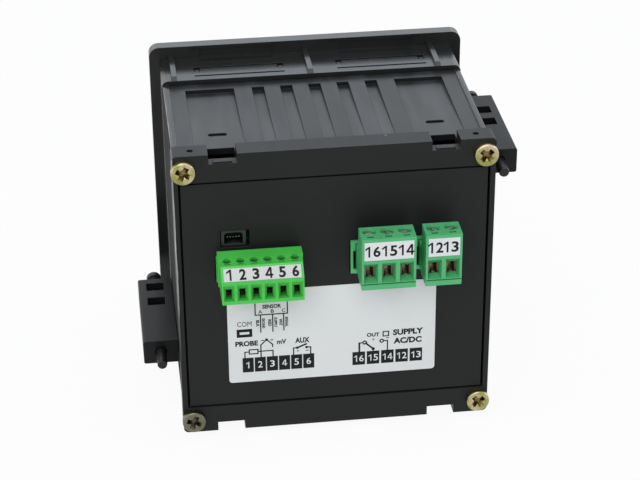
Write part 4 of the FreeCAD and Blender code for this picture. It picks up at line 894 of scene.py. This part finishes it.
class CONTROLLER_OT_clamp_screws(bpy.types.Operator):
    """Model the clamp screws with their thread"""
    bl_idname = "controller.clamp_screws"
    bl_label = "Clamp screws"

    ROD_RADIUS = 1.58 * MM
    PITCH = 0.8 * MM
    RING_STEP = 0.1 * MM
    THREAD_DEPTH = 0.15         # shares of the rod's radius
    POINT_DEPTH = 0.14
    POINT_LENGTH = 0.4 * MM
    PLAIN_FOOT = 2.5 * MM
    DISC_HEIGHT = 2.0 * MM
    DISC_ROUNDING = 0.35 * MM

    def threaded_rod(self, length):
        """Rod about Z with a rolled thread and a blunt point, its plain foot end at the origin."""
        rod = prism(24, self.ROD_RADIUS, length, (0, 0, length / 2))
        pick(rod, "EDGE", lambda ends: abs(ends[0].z - ends[1].z) > 0.9 * length)
        bpy.ops.mesh.subdivide(number_cuts=round(length / self.RING_STEP))
        clear()
        for point in rod.data.vertices:
            angle = math.atan2(point.co.y, point.co.x) / math.tau
            crest = abs((point.co.z / self.PITCH - angle) % 1.0 * 2 - 1)
            depth = self.THREAD_DEPTH if point.co.z > self.PLAIN_FOOT else 0.0
            taper = min(1.0, (length - point.co.z) / self.POINT_LENGTH)
            scale = 1 - depth * (1 - crest) * taper - self.POINT_DEPTH * (1 - taper)
            point.co.x *= scale
            point.co.y *= scale
        return rod

    def execute(self, context):
        steel = black_steel("blackened_steel", (0.022, 0.022, 0.024))
        for side in ("left", "right"):
            node = "clamp_screw_" + side
            low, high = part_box(node)
            rod = self.threaded_rod(high.y - low.y)
            disc = round_head((high.x - low.x) / 2, self.DISC_HEIGHT, self.DISC_ROUNDING, 40)
            made = join([disc, rod], node + "_threaded")
            settle(made, ((low.x + high.x) / 2, low.y, (low.z + high.z) / 2), TOP_TO_REAR)
            smooth(made, 50)
            fit(made, "clamp_" + side, "clamp_steel", steel, node)
        return {"FINISHED"}


class CONTROLLER_OT_strip_numbers(bpy.types.Operator):
    """Print the pole numbers on the plugs' strips"""
    bl_idname = "controller.strip_numbers"
    bl_label = "Strip numbers"

    LEAN = 46.7                 # degrees from upright to the six-way strip
    STRIP_HALF = 0.1 * MM       # half the thickness of a strip

    def execute(self, context):
        choice = chosen("print")
        black = ink("strip_ink", chosen("finishes").ink_colour)
        # numbers, pitch in millimetres, height, weight, lean, millimetres that the row stands aside
        strips = {"6way": ("123456", 3.68, choice.fine_digit, 0.168, self.LEAN, 0.0),
                  "3way": (("16", "15", "14"), 4.7, choice.broad_digit, 0.155, 0.0, 0.0),
                  "2way": (("12", "13"), 4.35, choice.broad_digit, 0.155, 0.0, 0.37)}
        for name, (words, pitch, height, weight, lean, aside) in strips.items():
            low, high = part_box("plug_%s_strip" % name)
            lean = math.radians(lean)
            out = Vector((0, math.cos(lean), math.sin(lean)))
            face = (low + high) / 2
            if lean:
                face += out * self.STRIP_HALF
            else:
                face.y = high.y
            made = []
            for i, word in enumerate(words):
                shift = ((i - (len(words) - 1) / 2) * pitch - aside) * MM
                made.append(settle(figures(word, height, weight), (shift, 0, 0)))
            numbers = join(made, "plug_%s_numbers" % name)
            settle(numbers, face + out * INK, Euler((math.radians(90) - lean, 0, math.radians(180))))
            fit(numbers, "plug_" + name, "strip_white", black)
        return {"FINISHED"}


class CONTROLLER_OT_label_print(bpy.types.Operator):
    """Print the numbered boxes and connection signs on the wiring label"""
    bl_idname = "controller.label_print"
    bl_label = "Label print"

    # Places are in millimetres to the left of the object's middle, as it is read, and up from it.
    # Boxes: numbers, place of the first, pitch, level, width and height.
    LEFT_BOXES = ("123456", 25.83, 3.546, -23.44, 3.25, 4.9)
    RIGHT_BOXES = (("16", "15", "14", "12", "13"), -6.64, 4.23, -23.87, 3.7, 4.45)
    PATHS = (
        ((26.7, -21.0), (26.7, -19.0), (25.4, -19.0)),
        ((22.9, -19.0), (18.5, -19.0), (18.5, -21.0)),
        ((22.0, -21.0), (22.0, -16.9), (20.3, -15.2), (18.6, -16.9), (18.6, -17.7)),
        ((25.4, -18.3), (22.9, -18.3), (22.9, -19.7), (25.4, -19.7), (25.4, -18.3)),
        ((12.5, -21.0), (12.5, -18.7), (11.4, -18.7)),
        ((8.6, -18.7), (7.5, -18.7), (7.5, -21.0)),
        ((-6.8, -18.7), (-7.9, -18.6)),
        ((-10.9, -21.0), (-10.9, -21.7)),
        ((-13.9, -18.4), (-15.1, -18.4), (-15.1, -21.7)),
        ((23.4, -3.0), (23.4, -6.75), (14.1, -6.75), (14.1, -3.0)),
        ((-13.8, -15.3), (-15.4, -15.3), (-15.4, -16.8), (-13.8, -16.8), (-13.8, -15.3)),
        ((21.9, -6.75), (21.9, -12.5)),
        ((18.4, -6.75), (18.4, -12.5)),
        ((15.2, -6.75), (15.2, -12.3)),
    )
    THICK_PATHS = (
        ((-8.75, -18.9), (-10.8, -20.8)),
        ((-6.8, -21.7), (-6.8, -18.7)),
        ((11.4, -18.7), (8.8, -17.6)),
    )
    THICK_SHARE = 1.5
    # Dots and rings: place and radius.
    DOTS = (((20.3, -15.2), 0.42), ((11.4, -18.7), 0.42), ((8.7, -18.7), 0.42), ((-10.9, -20.9), 0.48),
            ((22.0, -19.0), 0.3))
    RINGS = (((-8.4, -18.6), 0.52), ((-13.4, -18.4), 0.52))
    # Bars of the port's sign: left, right, bottom and top.
    PORT_SIGN = ((28.9, 24.4, -12.15, -11.2), (28.9, 24.4, -13.9, -12.95), (28.9, 28.05, -12.95, -12.15),
                 (25.25, 24.4, -12.95, -12.15))
    # Words: left end, level, width, height and weight.
    WORDS = (("COM", 28.7, -9.5, 4.2, 1.6, 0.0), ("PROBE", 29.4, -16.1, 6.6, 1.75, 0.060),
             ("mV", 17.3, -16.2, 2.7, 1.6, 0.045), ("AUX", 12.0, -16.2, 4.2, 1.85, 0.055),
             ("OUT", -9.0, -16.1, 3.7, 1.3, 0.055), ("SUPPLY", -16.7, -15.8, 8.9, 2.0, 0.062),
             ("AC/DC", -16.9, -18.7, 8.3, 2.0, 0.062), ("SENSOR", 21.3, -4.1, 5.4, 1.3, 0.050),
             ("A", 22.5, -5.7, 1.1, 1.15, 0.02), ("B", 18.9, -5.7, 0.95, 1.15, 0.02),
             ("C", 15.7, -5.7, 1.0, 1.15, 0.02),
             ("+", 19.2, -15.4, 0.9, 0.9, 0.0), ("-", 21.9, -15.4, 0.9, 0.25, 0.0),
             ("+", 11.6, -19.8, 0.8, 0.8, 0.0), ("-", 8.9, -19.8, 0.8, 0.25, 0.0),
             ("+", -10.5, -17.7, 0.8, 0.8, 0.0), ("-", -14.7, -17.5, 0.8, 0.25, 0.0))
    # Leads: place and the words on both sides.
    LEADS = ((21.9, "BLK", "GROUND"), (18.4, "RED", "SUPPLY"), (15.2, "WHT", "SIGNAL"))
    LEAD_SIZES = ((-0.85, 2.3, 0.95), (0.85, 3.4, 0.85))        # place beside the lead, width and height
    LEAD_LEVEL = -9.6
    LEAD_WEIGHT = 0.055
    FIGURE_WEIGHT = 0.135

    def spot(self, place):
        """A place of the label in the print's plane, in metres."""
        return (-place[0] * MM, place[1] * MM)

    def boxes(self, row):
        """Filled boxes and the figures that stand in them."""
        words, first, pitch, level, width, height = row
        filled, written = [], []
        for i, word in enumerate(words):
            x, z = self.spot((first - i * pitch, level))
            half_width, half_height = width / 2 * MM, height / 2 * MM
            filled.append(patch(x - half_width, x + half_width, z - half_height, z + half_height))
            piece = figures(word, chosen("print").label_digit, self.FIGURE_WEIGHT)
            written.append(settle(piece, (x, z, 2 * INK)))
        return filled, written

    def word(self, row):
        """A plain word of a width and height that starts at a place on the label."""
        written, left, level, width, height, weight = row
        x, z = self.spot((left - width / 2, level))
        return settle(lettering(written, height * MM, weight, width * MM), (x, z, 0))

    def lead_words(self, row):
        """Small words that read downwards on both sides of a lead."""
        made = []
        for written, (side, width, height) in zip(row[1:], self.LEAD_SIZES):
            x, z = self.spot((row[0] - side, self.LEAD_LEVEL))
            piece = lettering(written, height * MM, self.LEAD_WEIGHT, width * MM)
            made.append(settle(piece, (x, z, 0), about_z(-90)))
        return made

    def execute(self, context):
        choice = chosen("finishes")
        line = chosen("print").line_width
        dark, pale = [], []
        for row in (self.LEFT_BOXES, self.RIGHT_BOXES):
            filled, written = self.boxes(row)
            dark += filled
            pale += written
        for paths, width in ((self.PATHS, line), (self.THICK_PATHS, self.THICK_SHARE * line)):
            for path in paths:
                dark += route([self.spot(point) for point in path], width)
        for place, radius in self.DOTS:
            dark.append(dot(self.spot(place), radius * MM))
        for place, radius in self.RINGS:
            dark += ring(self.spot(place), radius * MM, line)
        for left, right, bottom, top in self.PORT_SIGN:
            dark.append(patch(-left * MM, -right * MM, bottom * MM, top * MM))
        for row in self.WORDS:
            dark.append(self.word(row))
        for row in self.LEADS:
            dark += self.lead_words(row)
        for parts, name, finish, colour in ((dark, "label_signs", "label_ink", choice.ink_colour),
                                            (pale, "label_figures", "label_pale_ink", choice.film_colour)):
            made = settle(join(parts, name), (0, LABEL_FACE + INK, 0), TO_REAR)
            fit(made, "housing", "label_white", ink(finish, colour))
        return {"FINISHED"}


class CONTROLLER_OT_display_segments(bpy.types.Operator):
    """Model the unlit segments of the display behind the window"""
    bl_idname = "controller.display_segments"
    bl_label = "Display segments"

    ROWS = ((23.0, 14.0), (5.0, 10.0))      # level and height of a row of digits, in millimetres
    DIGITS = 4
    DIGIT_PITCH = 15.0 * MM
    DIGIT_WIDTH = 0.56                      # share of the height
    SEGMENT_WIDTH = 0.14                    # share of the digit's width
    TIP_LENGTH = 0.45                       # shares of the segment's width
    TIP_WIDTH = 0.1
    END_GAPS = 1.5
    SEGMENT_DEPTH = 0.1 * MM
    SEGMENT_STAND = 0.06 * MM               # from the module's face to the middle of a segment
    LEAN = 7                                # degrees that the upright segments lean
    LEAN_SHIFT = 0.12                       # share of its level that a segment stands aside

    def segment(self, length, width):
        """One bar with pointed ends, facing +Z."""
        piece = slab(length, width, self.SEGMENT_DEPTH)
        for side in (1, -1):
            pick(piece, "FACE", lambda corners: min(side * corner.x for corner in corners) > 0)
            tip = (side * width * self.TIP_LENGTH, 0, 0)
            bpy.ops.mesh.extrude_region_move(TRANSFORM_OT_translate={"value": tip})
            bpy.ops.transform.resize(value=(1, self.TIP_WIDTH, 1))
        clear()
        return piece

    def digit(self, width, height):
        """Seven segments, leaning a little, about the origin."""
        thick = self.SEGMENT_WIDTH * width
        bars = [(0, k * height / 2, 0, width) for k in (-1, 0, 1)]
        posts = [(sx * width / 2, sz * height / 4, 90 - self.LEAN, height / 2)
                 for sx in (1, -1) for sz in (1, -1)]
        parts = []
        for x, y, turn, span in bars + posts:
            piece = self.segment(span - self.END_GAPS * thick, thick)
            parts.append(settle(piece, (x + y * self.LEAN_SHIFT, y, 0), about_z(turn)))
        return join(parts, "digit")

    def execute(self, context):
        resin = unlit_segment("unlit_segment", (0.50, 0.26, 0.22), (0.60, 0.33, 0.28))
        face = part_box("display_module")[0].y - self.SEGMENT_STAND
        made = []
        for level, height in self.ROWS:
            height *= MM
            pattern = self.digit(self.DIGIT_WIDTH * height, height)
            for i in range(self.DIGITS):
                x = (i - (self.DIGITS - 1) / 2) * self.DIGIT_PITCH
                made.append(settle(copy_of(pattern), (x, face, level * MM), TO_FRONT))
            bpy.data.objects.remove(pattern)
        fit(join(made, "display_segments"), "housing", "digit_grey", resin)
        return {"FINISHED"}


class CONTROLLER_OT_key_signs(bpy.types.Operator):
    """Print a plain sign on each key"""
    bl_idname = "controller.key_signs"
    bl_label = "Key signs"

    def bars(self):
        """Three level bars."""
        return join([patch(-1.3 * MM, 1.3 * MM, (level - 0.22) * MM, (level + 0.22) * MM)
                     for level in (-0.9, 0, 0.9)], "bars")

    def arrow(self, turn):
        """Triangle on a short stem."""
        stem = patch(-0.35 * MM, 0.35 * MM, -1.6 * MM, -0.6 * MM)
        return settle(join([prism(3, 1.5 * MM, 2 * INK), stem], "arrow"), rotation=about_z(turn))

    def target(self):
        """Dot in a ring."""
        return join([dot((0, 0), 0.6 * MM)] + ring((0, 0), 1.3 * MM, 0.35 * MM), "target")

    def execute(self, context):
        pale = ink("key_ink", (0.70, 0.70, 0.70))
        for i, sign in enumerate((self.bars(), self.arrow(0), self.arrow(180), self.target()), 1):
            key = "key_%d" % i
            low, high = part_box(key)
            settle(sign, ((low.x + high.x) / 2, low.y - INK, (low.z + high.z) / 2), TO_FRONT)
            sign.name = key + "_sign"
            fit(sign, key, "key_grey", pale)
        return {"FINISHED"}


class CONTROLLER_OT_stage(bpy.types.Operator):
    """Set the floor, the lights and the camera"""
    bl_idname = "controller.stage"
    bl_label = "Stage"

    WHITE = (1, 1, 1)
    COOL = (0.30, 0.68, 1.0)
    # Lights: place, width and depth in metres, the power that is set, the share of it and the colour.
    LIGHTS = {
        "far_light": ((0.05, -0.73, 0.65), (1.3, 0.72), "far_power", 1.0, COOL),
        "overhead_light": ((0.0, 0.25, 1.1), (0.8, 0.6), "overhead_power", 1.0, WHITE),
        "camera_side_light": ((0.25, 0.95, 0.75), (0.9, 0.7), "rear_power", 1.0, WHITE),
        "left_light": ((1.0, 0.05, 0.28), (0.6, 0.8), "side_power", 1.0, WHITE),
        "right_light": ((-1.0, 0.05, 0.28), (0.6, 0.8), "side_power", 1.0, WHITE),
        "front_light": ((0.0, -0.9, 0.25), (0.9, 0.5), "side_power", 0.36, WHITE),
    }
    LIT_POINT = (0, 0.03, 0)
    FLOOR_SIZE = 8.0
    FLOOR_GAP = 0.05 * MM
    FLOOR_GLOW = 0.93           # share of white in the floor where it is seen
    EVEN_LIGHT = 0.35           # strength of the light from all round
    SENSOR_WIDTH = 36.0
    CLIP = (0.01, 20.0)         # nearest and farthest that the camera sees, in metres

    def floor(self):
        """Pale floor that keeps the object's shadow."""
        clear()
        level = CAD_BOX[0].z - self.FLOOR_GAP
        bpy.ops.mesh.primitive_plane_add(size=self.FLOOR_SIZE, location=(0, 0, level))
        floor = bpy.context.object
        floor.name = "floor"
        finish = Finish("floor_paper", Base_Color=(0.82, 0.82, 0.82, 1.0), Roughness=0.9)
        paper = Signal(finish, finish.shader.outputs[0])
        glow = finish.node("ShaderNodeEmission", None, {"Strength": 1.0})
        blend = finish.node("ShaderNodeMixShader", None,
                            {0: finish.backdrop() * self.FLOOR_GLOW, 1: paper, 2: glow})
        finish.tree.links.new(blend.socket, finish.tree.nodes["Material Output"].inputs["Surface"])
        floor.data.materials.append(finish.material)

    def sky(self):
        """Even light from all round, white where it is seen."""
        sky = Sky("studio")
        even, white = [sky.node("ShaderNodeBackground", None, {"Color": (1, 1, 1, 1), "Strength": strength})
                       for strength in (self.EVEN_LIGHT, 1.0)]
        blend = sky.node("ShaderNodeMixShader", None, {0: sky.backdrop(), 1: even, 2: white})
        sky.tree.links.new(blend.socket, sky.tree.nodes["World Output"].inputs["Surface"])

    def softbox(self, name, place, size, power, colour):
        """Rectangular light that points at the object."""
        lamp = bpy.data.lights.new(name, "AREA")
        lamp.shape = "RECTANGLE"
        lamp.size, lamp.size_y = size
        lamp.energy = power
        lamp.color = colour
        obj = bpy.data.objects.new(name, lamp)
        bpy.context.scene.collection.objects.link(obj)
        obj.location = place
        obj.rotation_euler = (Vector(self.LIT_POINT) - Vector(place)).to_track_quat("-Z", "Y").to_euler()

    def camera(self, choice):
        """Camera that looks at its target, turned by its roll."""
        data = bpy.data.cameras.new("camera")
        data.lens = choice.camera_lens
        data.sensor_width = self.SENSOR_WIDTH
        data.sensor_fit = "HORIZONTAL"
        data.clip_start, data.clip_end = self.CLIP
        obj = bpy.data.objects.new("camera", data)
        bpy.context.scene.collection.objects.link(obj)
        place, target = Vector(choice.camera_place), Vector(choice.camera_target)
        ahead = (target - place).normalized()
        right = ahead.cross(Vector((0, 0, 1))).normalized()
        up = right.cross(ahead)
        cos, sin = math.cos(choice.camera_roll), math.sin(choice.camera_roll)
        axes = (right * cos + up * sin, up * cos - right * sin, -ahead)
        obj.matrix_world = Matrix.Translation(place) @ Matrix(axes).transposed().to_4x4()
        bpy.context.scene.camera = obj

    def execute(self, context):
        choice = chosen("stage")
        self.floor()
        for name, (place, size, power, share, colour) in self.LIGHTS.items():
            self.softbox(name, place, size, share * getattr(choice, power), colour)
        self.sky()
        self.camera(choice)
        bpy.context.scene.view_settings.view_transform = "Standard"
        return {"FINISHED"}


STEPS = (CONTROLLER_OT_case_finish, CONTROLLER_OT_terminal_finish, CONTROLLER_OT_front_finish,
         CONTROLLER_OT_inner_finish, CONTROLLER_OT_cover_screws, CONTROLLER_OT_terminal_screws,
         CONTROLLER_OT_clamp_screws, CONTROLLER_OT_strip_numbers, CONTROLLER_OT_label_print,
         CONTROLLER_OT_display_segments, CONTROLLER_OT_key_signs, CONTROLLER_OT_stage)
GROUPS = {"controller_finishes": ControllerFinishes, "controller_print": ControllerPrint,
          "controller_stage": ControllerStage}


class CONTROLLER_PT_steps(bpy.types.Panel):
    """Steps that dress the controller"""
    bl_idname = "CONTROLLER_PT_steps"
    bl_label = "Temperature controller"
    bl_space_type = "VIEW_3D"
    bl_region_type = "UI"
    bl_category = "Controller"

    def draw(self, context):
        for group in GROUPS:
            box = self.layout.box()
            for name in getattr(context.scene, group).bl_rna.properties.keys():
                if name not in ("rna_type", "name"):
                    box.prop(getattr(context.scene, group), name)
        for step in STEPS:
            self.layout.operator(step.bl_idname)


def register():
    for group in GROUPS.values():
        bpy.utils.register_class(group)
    for name, group in GROUPS.items():
        setattr(bpy.types.Scene, name, bpy.props.PointerProperty(type=group))
    for step in STEPS:
        bpy.utils.register_class(step)
    bpy.utils.register_class(CONTROLLER_PT_steps)


def unregister():
    bpy.utils.unregister_class(CONTROLLER_PT_steps)
    for step in reversed(STEPS):
        bpy.utils.unregister_class(step)
    for name, group in GROUPS.items():
        delattr(bpy.types.Scene, name)
        bpy.utils.unregister_class(group)


def main():
    register()
    for step in STEPS:
        family, name = step.bl_idname.split(".")
        getattr(getattr(bpy.ops, family), name)()
    clear()


if __name__ == "__main__":
    main()
